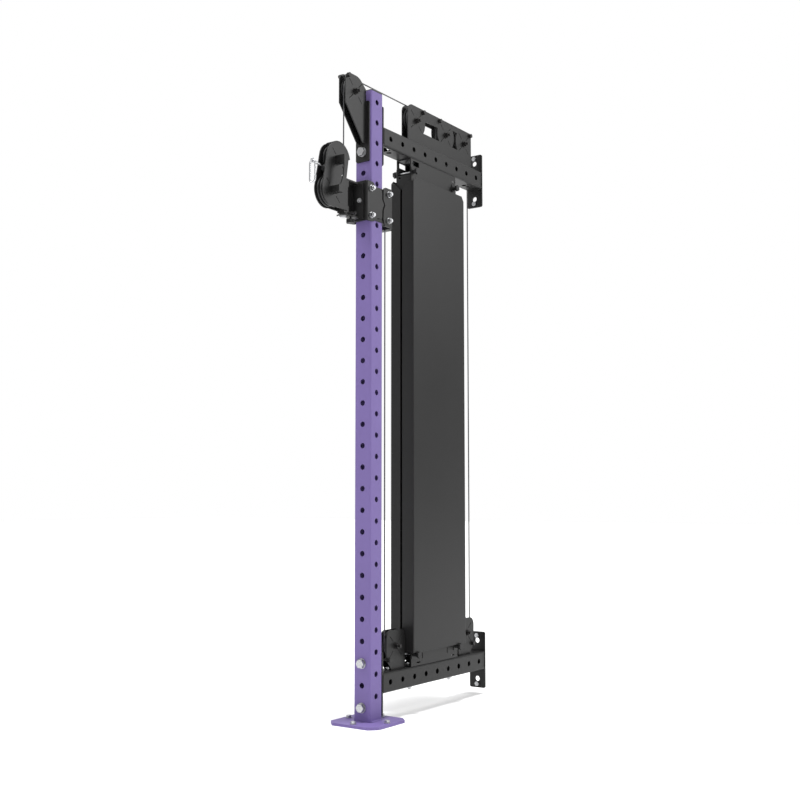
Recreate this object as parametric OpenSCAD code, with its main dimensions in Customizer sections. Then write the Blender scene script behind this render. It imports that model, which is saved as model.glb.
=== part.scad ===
// Wall pulley weight stack: a square upright bolted to the floor and, through two crossmembers, to the wall.
// A trolley with a swivelling pulley housing slides on the upright. One cable runs from its snap hook over
// the top pulleys, round a pulley on the weight stack inside the shroud, and back under the bottom pulleys
// to the trolley, so the trolley can change height without lifting the weights.
// Millimetres. Z is up, X is to the right, the wall is at +Y. The origin is the upright's axis on the floor.

/* [Which piece] */
// piece to draw

/* [Upright and foot] */
// outside width of the square tube of the upright and the crossmembers
tube_w = 75; // [60:1:90]
// wall of the square tube
tube_t = 3; // [2:0.5:5]
// outside corner radius of the square tube
tube_r = 7; // [4:0.5:10]
// distance of the upright's top end above its highest side hole
top_margin = 40; // [32:1:50]
// diameter of the adjustment holes
hole_d = 21; // [16:0.5:24]
// distance between two adjustment holes
hole_pitch = 80; // [76:1:84]
// height of the lowest hole in the upright's front
front_hole_z = 60; // [50:1:70]
// number of holes up each face of the upright
hole_count = 29; // [26:1:30]
// thickness of the closing cap above the tube
cap_t = 3; // [2:0.5:6]
// depth of the cap's plug inside the tube
cap_plug = 20; // [10:1:30]
// side of the square foot plate
foot_w = 220; // [200:1:260]
// thickness of the foot plate
foot_t = 10; // [8:0.5:14]
// size of the foot plate's cut corners
foot_cut = 30; // [15:1:40]
// distance of each foot anchor bolt from the upright's axis
foot_bolt_r = 88; // [80:1:95]

/* [Crossmembers] */
// distance from the upright's axis to the wall
wall_y = 785.5; // [780:0.5:800]
// height of the flange plates at both ends
flange_h = 235; // [225:1:250]
// thickness of the flange plates
flange_t = 6; // [5:0.5:8]
// corner radius of the flange plates
flange_r = 8; // [3:0.5:12]
// diameter of the wide open holes in the wall flanges
wide_hole_d = 22; // [21.5:0.5:24]
// distance of the narrow flange holes above and below the crossmember's axis
wall_hole = 101; // [99:0.5:104]
// diameter of the narrow flange holes
wall_hole_d = 13; // [12.5:0.5:14]
// distance from the upright's axis to the first side hole of a crossmember
beam_hole_y = 91.4; // [88:0.2:95]
// number of side holes along a crossmember
beam_hole_count = 9; // [7:1:9]

/* [Pulleys] */
// diameter of the steel cable in its sheath
cable_d = 5; // [4:0.5:7]
// radius of the cable's centre line on the fixed and housing pulleys
cable_r = 52.5; // [50:0.5:54]
// height of the pulley rim above the cable's centre line
rim_lip = 4.5; // [3.5:0.5:5]
// width of a pulley's rim
rim_w = 20; // [16:0.5:22]
// radius of a pulley's hub
hub_r = 15; // [12:0.5:20]
// thickness of the web between hub and rim
web_t = 8; // [6:0.5:12]
// radius of a pulley plate's rounded ends above the rim
plate_lip = 3; // [3:0.5:6]
// thickness of the pulley plates
plate_t = 4; // [3:0.5:6]
// distance between the two plates of a fixed pulley bracket
plate_gap = 24; // [23:0.5:30]
// diameter of the axle bolts
axle_d = 12; // [10:0.5:13]
// diameter of the bearing sleeve on an axle bolt
sleeve_d = 18; // [16:0.5:22]
// height of the upper pulleys' axles above the upper crossmember's axis
top_axle_rise = 137; // [132:1:142]
// height of the lower pulleys' axles above the lower crossmember's axis
low_axle_rise = 125; // [118:1:135]
// distance from the upright's axis to the first pulley above the shroud
wheel_a_y = 300; // [297:1:303]
// distance from the upright's axis to the second pulley above the shroud
wheel_b_y = 521; // [518:1:524]
// distance from the upright's axis to the two rear pulleys
wheel_c_y = 665; // [660:1:668]
// distance from the upright's axis to the bottom front pulley
low_front_y = 156; // [152:1:160]
// distance forward from the upright's axis to the swivel axis and the front cable
swivel_y = 160.5; // [158:0.5:164]
// distance of a cable retainer from its pulley's axle, both across and up
retainer_off = 48; // [47:0.5:50]
// diameter of a cable retainer's screw
retainer_d = 8; // [6:0.5:9]
// distance of a lower pulley bracket's two screws from its pulley's axle
low_screw_off = 28; // [24:1:30]

/* [Shroud] */
// width of the shroud across both side panels
shroud_w = 110; // [106:1:116]
// depth of the shroud from front to rear
shroud_depth = 381; // [360:1:381]
// distance of the shroud's lower edge above the lower crossmember
shroud_low = 54.5; // [51:0.5:55.5]
// distance of the shroud's upper edge below the upper crossmember
shroud_high = 82.5; // [78:0.5:90]
// thickness of the shroud's sheet
sheet_t = 2; // [1.5:0.5:3]
// outside bend radius of the shroud's folded edges
sheet_r = 4; // [3:0.5:6]
// width of the open seam between the two shells
seam_w = 9; // [6:0.5:12]
// offset of the seam from the middle plane
seam_x = -4; // [-8:0.5:8]
// side of the sloping cuts at the seam's upper end
seam_cut = 29; // [20:1:32]
// distance from the upright's axis to the front clamp studs
stud_front_y = 248; // [246:0.5:251]
// distance from the upright's axis to the rear clamp studs
stud_rear_y = 550; // [545:0.5:552]
// distance of the upper clamp studs below the upper crossmember
stud_high = 53.5; // [51.5:0.5:56.5]
// distance of the lower clamp studs above the lower crossmember
stud_low = 46; // [45:0.5:47]
// diameter of the clamp studs
stud_d = 8; // [6:0.5:8]
// diameter of the clamp knobs
knob_d = 26; // [22:1:30]
// thickness of the clamp knobs' gripped heads
knob_l = 9; // [7:1:14]
// length of the collar between an upper clamp knob and the strip that it holds
collar_l = 12; // [6:0.5:14]
// height of the plate under the guide rods above the lower crossmember
base_rise = 56.5; // [54:0.5:58]

/* [Weight stack] */
// number of plates that rest at the bottom
resting_count = 12; // [8:1:14]
// number of plates that hang on the selector pin
lifted_count = 8; // [4:1:10]
// thickness of one weight plate
weight_t = 25; // [22:0.5:26]
// air between two weight plates
weight_air = 0.4; // [0.3:0.1:0.6]
// width of a weight plate
weight_w = 84; // [76:1:86]
// length of a weight plate
weight_l = 300; // [280:1:320]
// thickness of the head plate
head_t = 30; // [26:1:36]
// diameter of the guide rods
rod_d = 20; // [16:0.5:24]
// distance between the two guide rods
rod_gap = 230; // [220:1:240]
// diameter of the selector rod
selector_d = 22; // [20:0.5:26]
// diameter of the selector pin
pin_d = 10; // [8:0.5:11]
// height of the rubber buffers
buffer_h = 25; // [20:1:30]
// travel of the weight stack
stack_travel = 1000; // [900:10:1100]

/* [Trolley] */
// number of side holes below the one that the trolley stands at
trolley_hole = 23; // [8:1:23]
// clearance between the slider and the upright
slide_gap = 0.3; // [0.2:0.05:0.8]
// thickness of the slider's side walls
slider_wall = 3.2; // [3:0.1:5]
// distance from the upright's axis to the slider's front
slider_front = 70; // [66:0.5:74]
// distance from the upright's axis to the slider's rear
slider_rear = 88; // [84:0.5:90]
// half the height of the slider
slider_h = 66; // [62:1:70]
// thickness of the trolley's steel brackets
bracket_t = 5; // [4:0.5:6]
// distance of the trolley bolts above and below the trolley's middle
bolt_dz = 52; // [48:0.5:54]
// distance from the upright's axis to the front trolley bolts
bolt_front = 48; // [46:0.5:50]
// distance from the upright's axis to the rear trolley bolts
bolt_rear = 64.5; // [60:0.5:68]
// diameter of the locking pin's tip
lock_d = 19; // [16:0.5:20]
// stroke of the locking pin
lock_stroke = 12; // [10:0.5:13]

/* [Swivelling pulley housing] */
// distance between the two housing plates
house_gap = 32; // [29:0.5:34]
// height of the upper housing pulley's axle above the trolley's middle
house_up = 123; // [118:1:128]
// distance of the lower housing pulley's axle in front of the upper one
house_step = 33; // [30:1:36]
// height of the lower housing pulley's axle above the trolley's middle
house_low = 3; // [0:1:6]
// diameter of the swivel bolts
swivel_d = 14; // [12:0.5:16]
// radius of the index sector
sector_r = 50; // [48:0.5:50]
// angle between two index notches
sector_step = 20; // [15:5:30]
// diameter of the index pin
index_d = 8; // [6:0.5:9]
// stroke of the index pin
index_stroke = 7; // [6:0.5:7]
// free depth behind the handle bar
grip_gap = 36; // [30:1:45]
// depth of the handle's legs
grip_w = 27; // [24:1:30]
// thickness of the handle bar
grip_t = 5; // [4:0.5:8]

/* [Cable end] */
// upward slope of the cable end between the two housing pulleys, in degrees
pull_slope = 11.5; // [10:0.1:18]
// diameter of the stop ball
ball_d = 28; // [24:1:28]
// diameter of the snap hook's wire
hook_d = 7; // [5:0.5:7]
// inside width of the snap hook
hook_in = 17; // [15:1:24]
// overall length of the snap hook
hook_l = 88; // [76:1:96]
// distance of the link's ring from the upper housing pulley, along the cable end
ring_at = 119; // [110:1:126]

/* [Hidden] */
$fn = 64;
eps = 0.01;
run_fit = 0.05;
groove_gap = 0.3;
hub_gap = 0.3;
bolt_gap = 0.2;
face_gap = 0.3;

half_w = tube_w / 2;
side_hole_z = front_hole_z + hole_pitch / 2;
top_side_hole_z = side_hole_z + (hole_count - 1) * hole_pitch;
upright_top = top_side_hole_z + top_margin;
low_beam_z = front_hole_z + hole_pitch;
high_beam_z = front_hole_z + (hole_count - 2) * hole_pitch;
flange_hole = hole_pitch;
trolley_z = side_hole_z + trolley_hole * hole_pitch;
beam_front = half_w + flange_t;
beam_len = wall_y - half_w - 2 * flange_t;
top_axle_z = high_beam_z + top_axle_rise;
low_axle_z = low_beam_z + low_axle_rise;
house_upper_z = trolley_z + house_up;
house_lower_z = trolley_z + house_low;
stack_y = (wheel_a_y + wheel_b_y) / 2;
stack_cable_r = (wheel_b_y - wheel_a_y) / 2 - cable_r;
front_axle_y = cable_r - swivel_y;
plate_r = cable_r + rim_lip + plate_lip;
plate_half = plate_gap / 2 + plate_t;
house_half = house_gap / 2 + plate_t;
house_upper_y = -swivel_y - cable_r;
house_lower_y = house_upper_y - house_step;
house_r = cable_r + rim_lip + plate_lip + 1;
shroud_y0 = stack_y - shroud_depth / 2;
shroud_y1 = stack_y + shroud_depth / 2;
bracket_y0 = stud_front_y - 16;
bracket_y1 = stud_rear_y + 16;
leg_t = 4;
low_beam_top = low_beam_z + half_w;
high_beam_top = high_beam_z + half_w;
high_beam_bottom = high_beam_z - half_w;
shroud_z0 = low_beam_top + shroud_low;
shroud_z1 = high_beam_bottom - shroud_high;
stud_top_z = high_beam_bottom - stud_high;
stud_low_z = low_beam_top + stud_low;
base_z = low_beam_top + base_rise;
base_t = 6;
weights_z = base_z + base_t + buffer_h;
weight_pitch = weight_t + weight_air;
head_z = weights_z + (resting_count + lifted_count) * weight_pitch;
yoke_t = 6;
yoke_z = head_z + head_t;
stack_axle_z = yoke_z + yoke_t + stack_cable_r + cable_d / 2 + 9;
pin_z = weights_z + resting_count * weight_pitch + weight_t / 2;
clamp_bolt_y = shroud_depth / 2 - 49;
clamp_bolt_d = 12;
cheek_screw_d = 14;
low_screw_d = 10;
cable_hole = 16;
leg_x = half_w - 3;
strip_x = leg_x + 0.4;
low_knob_x = shroud_w / 2 + 0.4;
knob_cap = 3;
top_knob_x = strip_x + sheet_t + collar_l;
cheek_x = half_w + slide_gap + slider_wall;
top_tab_z = trolley_z + 62;
low_tab_z = trolley_z - 69;
tab_t = 6;
side_bolt_d = 12;
bush_d = 22;
pivot_bolt_d = 10;
pivot_bolt_in = 12;
pivot_bolt_x = [-34, 18];
waist = 23;
waist_gap = 8;
web_front = slider_front + bracket_t;
pivot_flange_t = 6;
sector_t = 5;
block_front = 15.5;
block_d = 28;
axle_in = 19;
index_y = swivel_y - 44.5;
anchor_y = low_front_y - cable_r;
anchor_z = trolley_z - 77;
anchor_d = 10;
ferrule_l = 6;
pull_dir = [0, -cos(pull_slope), sin(pull_slope)];
pull_from = [0, house_upper_y - cable_r * sin(pull_slope), house_upper_z - cable_r * cos(pull_slope)];
rim_touch = cable_r + rim_lip + ball_d / 2 + face_gap;
ball_at = sqrt(rim_touch * rim_touch - cable_r * cable_r);
ring_r = 7.5;
ring_wire = 2.5;
shank_d = 9;
shank_in = 5;
ring_c = pull_from + ring_at * pull_dir;
hook_z = ring_c[2] - ring_r + ring_wire + hook_d / 2 + 0.6;
hook_r = (hook_in + hook_d) / 2;
gate_z0 = hook_z - hook_l + hook_d + hook_r + 12;
gate_l = 30;

steel_black = [0.10, 0.10, 0.11];
steel_grey = [0.33, 0.33, 0.34];
purple = [0.50, 0.44, 0.66];
silver = [0.80, 0.81, 0.82];
cable_grey = [0.30, 0.30, 0.31];
rubber = [0.06, 0.06, 0.06];
plastic = [0.08, 0.08, 0.09];

FRAME = ["upright", "upright_cap", "foot_plate", "anchor_bolts", "lower_crossmember", "upper_crossmember",
    "frame_bolts", "top_front_bracket", "top_rear_bracket", "bottom_front_bracket", "bottom_rear_bracket",
    "pulley_bolts", "shroud_left", "shroud_right", "shroud_top_bracket",
    "shroud_bottom_bracket", "shroud_studs", "shroud_knobs", "guide_rods", "stack_buffers", "resting_plates",
    "cable_top_run", "cable_rear_run", "cable_stack_falls", "cable_front_drop", "cable_trolley_rise"];
WHEELS = ["top_front_wheel", "rear_wheel_a", "rear_wheel_b", "rear_wheel_c", "bottom_front_wheel",
    "bottom_rear_wheel"];
STACK = ["lifted_plates", "head_plate", "selector_rod", "stack_yoke", "cable_stack_loop", "stack_wheel",
    "selector_pin"];
TROLLEY = ["trolley_front_bracket", "trolley_rear_bracket", "trolley_slider", "trolley_bolts",
    "pivot_bracket", "trolley_fittings", "lock_pin", "index_pin"];
SWIVEL = ["swivel_left_plate", "swivel_right_plate", "swivel_pivots", "swivel_guard", "swivel_handle",
    "swivel_axles", "cable_swivel_loop", "swivel_upper_wheel", "swivel_lower_wheel"];
HOOK = ["cable_end", "cable_link", "snap_hook", "snap_gate"];

// Shared shapes

// flat shape drawn in (y, z), made thick from x0 towards +X
module yz_plate(x0, t) {
    translate([x0, 0, 0])
        rotate([90, 0, 90])
            linear_extrude(t)
                children();
}

// flat shape drawn in (x, z), made thick from y0 towards +Y
module xz_plate(y0, t) {
    translate([0, y0 + t, 0])
        rotate([90, 0, 0])
            linear_extrude(t)
                children();
}

// flat shape drawn in (x, y), made thick from z0 upwards
module xy_plate(z0, t) {
    translate([0, 0, z0])
        linear_extrude(t)
            children();
}

module x_rod(x0, y, z, d, len) {
    translate([x0, y, z])
        rotate([0, 90, 0])
            cylinder(d = d, h = len);
}

module y_rod(x, y0, z, d, len) {
    translate([x, y0, z])
        rotate([-90, 0, 0])
            cylinder(d = d, h = len);
}

module z_rod(x, y, z0, d, len) {
    translate([x, y, z0])
        cylinder(d = d, h = len);
}

// hexagon whose corners are bevelled at both ends
module hexagon(flats, len) {
    corner = flats / 2 / cos(30);
    end_r = flats / 2 * 0.96;
    bevel = (corner - end_r) * tan(30);
    intersection() {
        cylinder(r = corner, h = len, $fn = 6);
        rotate_extrude()
            polygon([[0, 0], [end_r, 0], [corner + eps, bevel + eps], [corner + eps, len - bevel - eps],
                [end_r, len], [0, len]]);
    }
}

module x_hex(x0, y, z, flats, len) {
    translate([x0, y, z])
        rotate([0, 90, 0])
            hexagon(flats, len);
}

module y_hex(x, y0, z, flats, len) {
    translate([x, y0, z])
        rotate([-90, 0, 0])
            hexagon(flats, len);
}

module z_hex(x, y, z0, flats, len) {
    translate([x, y, z0])
        hexagon(flats, len);
}

module rounded_rect(w, h, r) {
    square([w - 2 * r, h], center = true);
    square([w, h - 2 * r], center = true);
    for (sx = [-1, 1], sy = [-1, 1])
        translate([sx * (w / 2 - r), sy * (h / 2 - r)])
            circle(r = r);
}

// area between two corners, given low corner and high corner
module span(lo, hi) {
    translate(lo)
        square(hi - lo);
}

module tube_section() {
    difference() {
        rounded_rect(tube_w, tube_w, tube_r);
        rounded_rect(tube_w - 2 * tube_t, tube_w - 2 * tube_t, tube_r - tube_t);
    }
}

// Pulleys and their plates

// narrow slots round an axle, at the given angles from +Y towards +Z
module cross_slots(y, z, angles = [45, 135, 225, 315]) {
    slot_in = 25;
    slot_len = 29;
    slot_w = 2.5;
    for (a = angles)
        translate([y, z])
            rotate(a)
                translate([slot_in, -slot_w / 2])
                    square([slot_len, slot_w]);
}

module axle_hole(y, z) {
    translate([y, z])
        circle(d = axle_d + 2 * bolt_gap);
}

module retainer_hole(y, z) {
    translate([y, z])
        circle(d = retainer_d + 2 * bolt_gap);
}

// grooved wheel on a sleeve, its axle along X
module pulley(y, z, r, hub_w) {
    rim_r = r + rim_lip;
    rim_in = r - 10;
    groove_r = cable_d / 2 + groove_gap;
    mouth = groove_r + 2;
    spoke_holes = 6;
    spoke_hole_d = (rim_in - hub_r) * 0.55;
    translate([0, y, z])
        rotate([0, 90, 0])
            difference() {
                rotate_extrude($fn = 96)
                    difference() {
                        union() {
                            span([sleeve_d / 2 + run_fit, -hub_w / 2], [hub_r, hub_w / 2]);
                            span([hub_r - 1, -web_t / 2], [rim_in + 1, web_t / 2]);
                            span([rim_in, -rim_w / 2], [rim_r, rim_w / 2]);
                        }
                        translate([r, 0])
                            circle(r = groove_r);
                        polygon([[r, -groove_r], [rim_r + 1, -mouth], [rim_r + 1, mouth], [r, groove_r]]);
                    }
                for (i = [0 : spoke_holes - 1])
                    rotate([0, 0, i * 360 / spoke_holes])
                        translate([(rim_in + hub_r) / 2, 0, -web_t])
                            cylinder(d = spoke_hole_d, h = 2 * web_t);
            }
}

// bolt with washers, nut and bearing sleeve for a pulley between two plates
module axle_set(y, z, half, gap) {
    washer_t = 2.5;
    head_h = 8;
    nut_h = 12;
    tail = 9;
    flats = 1.6 * axle_d;
    washer_d = 2.3 * axle_d;
    x_hex(-half - washer_t - head_h, y, z, flats, head_h);
    x_rod(-half - washer_t, y, z, washer_d, washer_t);
    x_rod(-half - washer_t - eps, y, z, axle_d, 2 * (half + washer_t) + nut_h + tail);
    x_rod(half, y, z, washer_d, washer_t);
    x_hex(half + washer_t, y, z, flats, nut_h);
    x_rod(-gap / 2, y, z, sleeve_d, gap);
}

// small bolt with a spacer that keeps the cable on its pulley
module retainer(y, z, half, gap) {
    spacer_d = retainer_d + 2;
    head_d = 2 * retainer_d;
    head_h = 9;
    washer_t = 2;
    x_rod(-gap / 2, y, z, spacer_d, gap);
    x_rod(-half - head_h, y, z, head_d, head_h);
    x_rod(-half - eps, y, z, retainer_d, 2 * half + head_h);
    x_rod(half, y, z, 2.2 * retainer_d, washer_t);
    x_hex(half + washer_t, y, z, head_d, head_h);
}

// Cable pieces

module cable_z(y, z0, z1) {
    z_rod(0, y, z0, cable_d, z1 - z0);
}

module cable_y(z, y0, y1) {
    y_rod(0, y0, z, cable_d, y1 - y0);
}

// part of a turn round a pulley, angles from +Y towards +Z
module cable_arc(y, z, r, from, to) {
    translate([0, y, z])
        rotate([90, 0, 90])
            rotate([0, 0, from])
                rotate_extrude(angle = to - from, $fn = 96)
                    translate([r, 0])
                        circle(d = cable_d);
}

// Upright and foot

module upright() {
    color(purple)
        difference() {
            translate([0, 0, foot_t])
                linear_extrude(upright_top - foot_t)
                    tube_section();
            for (i = [0 : hole_count - 1]) {
                y_rod(0, -tube_w, front_hole_z + i * hole_pitch, hole_d, 2 * tube_w);
                x_rod(-tube_w, 0, side_hole_z + i * hole_pitch, hole_d, 2 * tube_w);
            }
        }
}

module upright_cap() {
    plug_w = tube_w - 2 * tube_t - 0.4;
    color(plastic) {
        xy_plate(upright_top, cap_t)
            rounded_rect(tube_w, tube_w, tube_r);
        xy_plate(upright_top - cap_plug, cap_plug + eps)
            difference() {
                rounded_rect(plug_w, plug_w, tube_r - tube_t);
                rounded_rect(plug_w - 6, plug_w - 6, 2);
            }
    }
}

module foot_plate() {
    a = foot_w / 2;
    b = a - foot_cut;
    color(purple)
        xy_plate(0, foot_t)
            difference() {
                polygon([[-a, -b], [-b, -a], [b, -a], [a, -b], [a, b], [b, a], [-b, a], [-a, b]]);
                for (t = [0 : 90 : 270])
                    rotate(t)
                        translate([foot_bolt_r, 0])
                            circle(d = wall_hole_d);
            }
}

module anchor_bolts() {
    bolt_d = 12;
    head_h = 7.5;
    flats = 18;
    washer_t = 2.5;
    color(silver) {
        for (t = [0 : 90 : 270])
            rotate([0, 0, t]) {
                z_rod(foot_bolt_r, 0, 0, bolt_d, foot_t + washer_t);
                z_rod(foot_bolt_r, 0, foot_t, 24, washer_t);
                z_hex(foot_bolt_r, 0, foot_t + washer_t, flats, head_h);
            }
        for (zc = [low_beam_z, high_beam_z], s = [-1, 1]) {
            y_rod(0, wall_y - flange_t - head_h, zc + s * wall_hole, bolt_d, flange_t + head_h);
            y_hex(0, wall_y - flange_t - head_h, zc + s * wall_hole, flats, head_h);
        }
    }
}

// Crossmembers

module crossmember(zc) {
    difference() {
        union() {
            translate([0, beam_front - eps, zc])
                rotate([-90, 0, 0])
                    linear_extrude(beam_len + 2 * eps)
                        tube_section();
            for (y0 = [half_w, wall_y - flange_t])
                translate([0, 0, zc])
                    xz_plate(y0, flange_t)
                        rounded_rect(tube_w, flange_h, flange_r);
        }
        for (s = [-1, 1]) {
            y_rod(0, half_w - 1, zc + s * flange_hole, hole_d, flange_t + 2);
            y_rod(0, wall_y - flange_t - 1, zc + s * flange_hole, wide_hole_d, flange_t + 2);
            for (y0 = [half_w, wall_y - flange_t])
                y_rod(0, y0 - 1, zc + s * wall_hole, wall_hole_d, flange_t + 2);
        }
        for (i = [0 : beam_hole_count - 1])
            x_rod(-tube_w, beam_hole_y + i * hole_pitch, zc, hole_d, 2 * tube_w);
        for (s = [-1, 1])
            z_rod(0, stack_y + s * clamp_bolt_y, zc - tube_w, clamp_bolt_d + 1, 2 * tube_w);
    }
}

module lower_crossmember() {
    color(steel_grey)
        difference() {
            crossmember(low_beam_z);
            for (yc = [low_front_y, wheel_c_y], s = [-1, 1])
                z_rod(0, yc + s * low_screw_off, low_beam_z, low_screw_d + 2 * bolt_gap, tube_w);
        }
}

module upper_crossmember() {
    access_w = 48;
    access_y0 = beam_front + 7;
    access_y1 = beam_front + 65;
    color(steel_grey)
        difference() {
            crossmember(high_beam_z);
            translate([-access_w / 2, access_y0, high_beam_bottom - 1])
                cube([access_w, access_y1 - access_y0, tube_t + 2]);
            for (i = [0, 7])
                z_rod(0, beam_hole_y + (i + 0.5) * hole_pitch, high_beam_z - tube_w, hole_d, 2 * tube_w);
            for (y = [wheel_a_y + cable_r, wheel_b_y - cable_r, wheel_c_y + cable_r])
                z_rod(0, y, high_beam_z - tube_w, cable_hole, 2 * tube_w);
        }
}

// one M20 bolt through the upright and a flange, its washer under the head at y0
module upright_bolt(z, y0) {
    washer_t = 3;
    head_h = 12.5;
    nut_h = 16;
    tail = 5;
    back = half_w + flange_t;
    y_hex(0, y0 - washer_t - head_h, z, 30, head_h + eps);
    y_rod(0, y0 - washer_t, z, 37, washer_t);
    y_rod(0, y0 - washer_t, z, 20, back - y0 + 2 * washer_t + nut_h + tail);
    y_rod(0, back, z, 37, washer_t);
    y_hex(0, back + washer_t, z, 30, nut_h);
}

// socket screw through the upright between the cheeks of the top front bracket
module cheek_screw(z) {
    head_d = 21;
    head_h = 14;
    key_d = 12;
    washer_t = 3;
    nut_h = 13;
    tail = 4;
    y0 = -half_w - flange_t;
    back = half_w + flange_t;
    difference() {
        y_rod(0, y0 - head_h, z, head_d, head_h);
        translate([0, y0 - head_h - 1, z])
            rotate([-90, 0, 0])
                cylinder(d = key_d / cos(30), h = 8, $fn = 6);
    }
    y_rod(0, y0 - eps, z, cheek_screw_d, back - y0 + washer_t + nut_h + tail);
    y_rod(0, back, z, 37, washer_t);
    y_hex(0, back + washer_t, z, 22, nut_h);
}

// M12 bolt down through the lower crossmember
module beam_bolt(y, top, bottom) {
    head_h = 7.5;
    nut_h = 10.8;
    tail = 6;
    z_hex(0, y, top, 18, head_h);
    z_rod(0, y, bottom - nut_h - tail, clamp_bolt_d, top - bottom + nut_h + tail + eps);
    z_hex(0, y, bottom - nut_h, 18, nut_h);
}

// M12 button screw up through the upper crossmember
module button_screw(y, top, bottom) {
    head_d = 22;
    head_h = 5;
    nut_h = 10.8;
    tail = 3;
    z_rod(0, y, bottom - head_h, head_d, head_h);
    z_rod(0, y, bottom - eps, clamp_bolt_d, top - bottom + nut_h + tail);
    z_hex(0, y, top, 18, nut_h);
}

module frame_bolts() {
    screw_in = 14;
    screw_flats = 17;
    screw_head_h = 6;
    color(silver) {
        for (s = [-1, 1]) {
            upright_bolt(low_beam_z + s * flange_hole, -half_w);
            button_screw(stack_y + s * clamp_bolt_y, high_beam_top + plate_t, high_beam_bottom - leg_t);
            beam_bolt(stack_y + s * clamp_bolt_y, low_beam_top + leg_t, low_beam_z - half_w);
        }
        upright_bolt(high_beam_z - flange_hole, -half_w - flange_t);
        cheek_screw(high_beam_z + flange_hole);
        for (yc = [low_front_y, wheel_c_y], s = [-1, 1]) {
            z_rod(0, yc + s * low_screw_off, low_beam_top - screw_in, low_screw_d, screw_in + plate_t);
            z_hex(0, yc + s * low_screw_off, low_beam_top + plate_t, screw_flats, screw_head_h);
        }
    }
}

// Fixed pulley brackets

module top_front_outline() {
    y0 = front_axle_y - plate_r - 2;
    y1 = -half_w - flange_t;
    low = high_beam_z - 49;
    corner = 30;
    top = top_axle_z + plate_r + 1;
    translate([front_axle_y, top_axle_z])
        circle(r = plate_r + 1);
    translate([y0 + corner, top - corner])
        circle(r = corner);
    span([y0 + corner, top_axle_z], [front_axle_y, top]);
    polygon([[y1, low], [y1, top_axle_z + 26], [front_axle_y + 42, top_axle_z + 44],
        [front_axle_y, top - corner], [y0, top - corner], [y0, top_axle_z - 56], [y1 - 18, low]]);
}

module top_front_bracket() {
    plate_w = 63;
    y1 = -half_w - flange_t;
    color(steel_grey)
        difference() {
            union() {
                translate([0, 0, high_beam_z])
                    xz_plate(y1, flange_t)
                        rounded_rect(plate_w, flange_h, flange_r);
                for (x0 = [-plate_half, plate_gap / 2])
                    yz_plate(x0, plate_t)
                        difference() {
                            union() {
                                top_front_outline();
                                span([y1 - 1, high_beam_z - 40], [y1 + 1, high_beam_z + flange_h / 2 - 12]);
                            }
                            cross_slots(front_axle_y, top_axle_z);
                            axle_hole(front_axle_y, top_axle_z);
                            retainer_hole(front_axle_y - retainer_off, top_axle_z + retainer_off);
                        }
            }
            y_rod(0, y1 - 1, high_beam_z - flange_hole, hole_d, flange_t + 2);
            y_rod(0, y1 - 1, high_beam_z + flange_hole, cheek_screw_d + 1, flange_t + 2);
        }
}

module rear_outline(y0, y1, z0, z1, r) {
    span([y0, z0], [y1, z1 - r]);
    span([y0 + r, z0], [y1 - 6, z1]);
    span([y0 + r, z0], [y1, z1 - 6]);
    translate([y0 + r, z1 - r])
        circle(r = r);
    translate([y1 - 6, z1 - 6])
        circle(r = 6);
}

// opening between two pulleys, bounded by arcs round their axles
module arc_window(ya, yb, z0, z1) {
    disc_r = plate_r + 4;
    difference() {
        span([ya, z0], [yb, z1]);
        for (y = [ya, yb])
            translate([y, top_axle_z])
                circle(r = disc_r);
    }
}

module top_rear_bracket() {
    y0 = wheel_a_y - plate_r;
    y1 = wheel_c_y + plate_r;
    window_z = top_axle_z - 39;
    color(steel_grey)
        difference() {
            union() {
                for (x0 = [-plate_half, plate_gap / 2])
                    yz_plate(x0, plate_t)
                        difference() {
                            rear_outline(y0, y1, high_beam_top, top_axle_z + plate_r, 30);
                            arc_window(wheel_a_y, wheel_b_y, window_z, top_axle_z + 15);
                            arc_window(wheel_b_y, wheel_c_y, window_z, top_axle_z + 34);
                            for (y = [wheel_a_y, wheel_b_y, wheel_c_y]) {
                                cross_slots(y, top_axle_z);
                                axle_hole(y, top_axle_z);
                            }
                            retainer_hole(wheel_a_y + retainer_off, top_axle_z + retainer_off);
                            retainer_hole(wheel_b_y - retainer_off, top_axle_z + retainer_off);
                            retainer_hole(wheel_c_y + retainer_off, top_axle_z + retainer_off);
                        }
                translate([-plate_half, y0, high_beam_top])
                    cube([2 * plate_half, y1 - y0, plate_t]);
            }
            for (s = [-1, 1])
                z_rod(0, stack_y + s * clamp_bolt_y, high_beam_top - 1, clamp_bolt_d + 1, plate_t + 2);
            for (y = [wheel_a_y + cable_r, wheel_b_y - cable_r, wheel_c_y + cable_r])
                z_rod(0, y, high_beam_top - 1, cable_hole, plate_t + 2);
            z_rod(0, beam_hole_y + 7.5 * hole_pitch, high_beam_top - 1, hole_d, plate_t + 2);
        }
}

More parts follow.
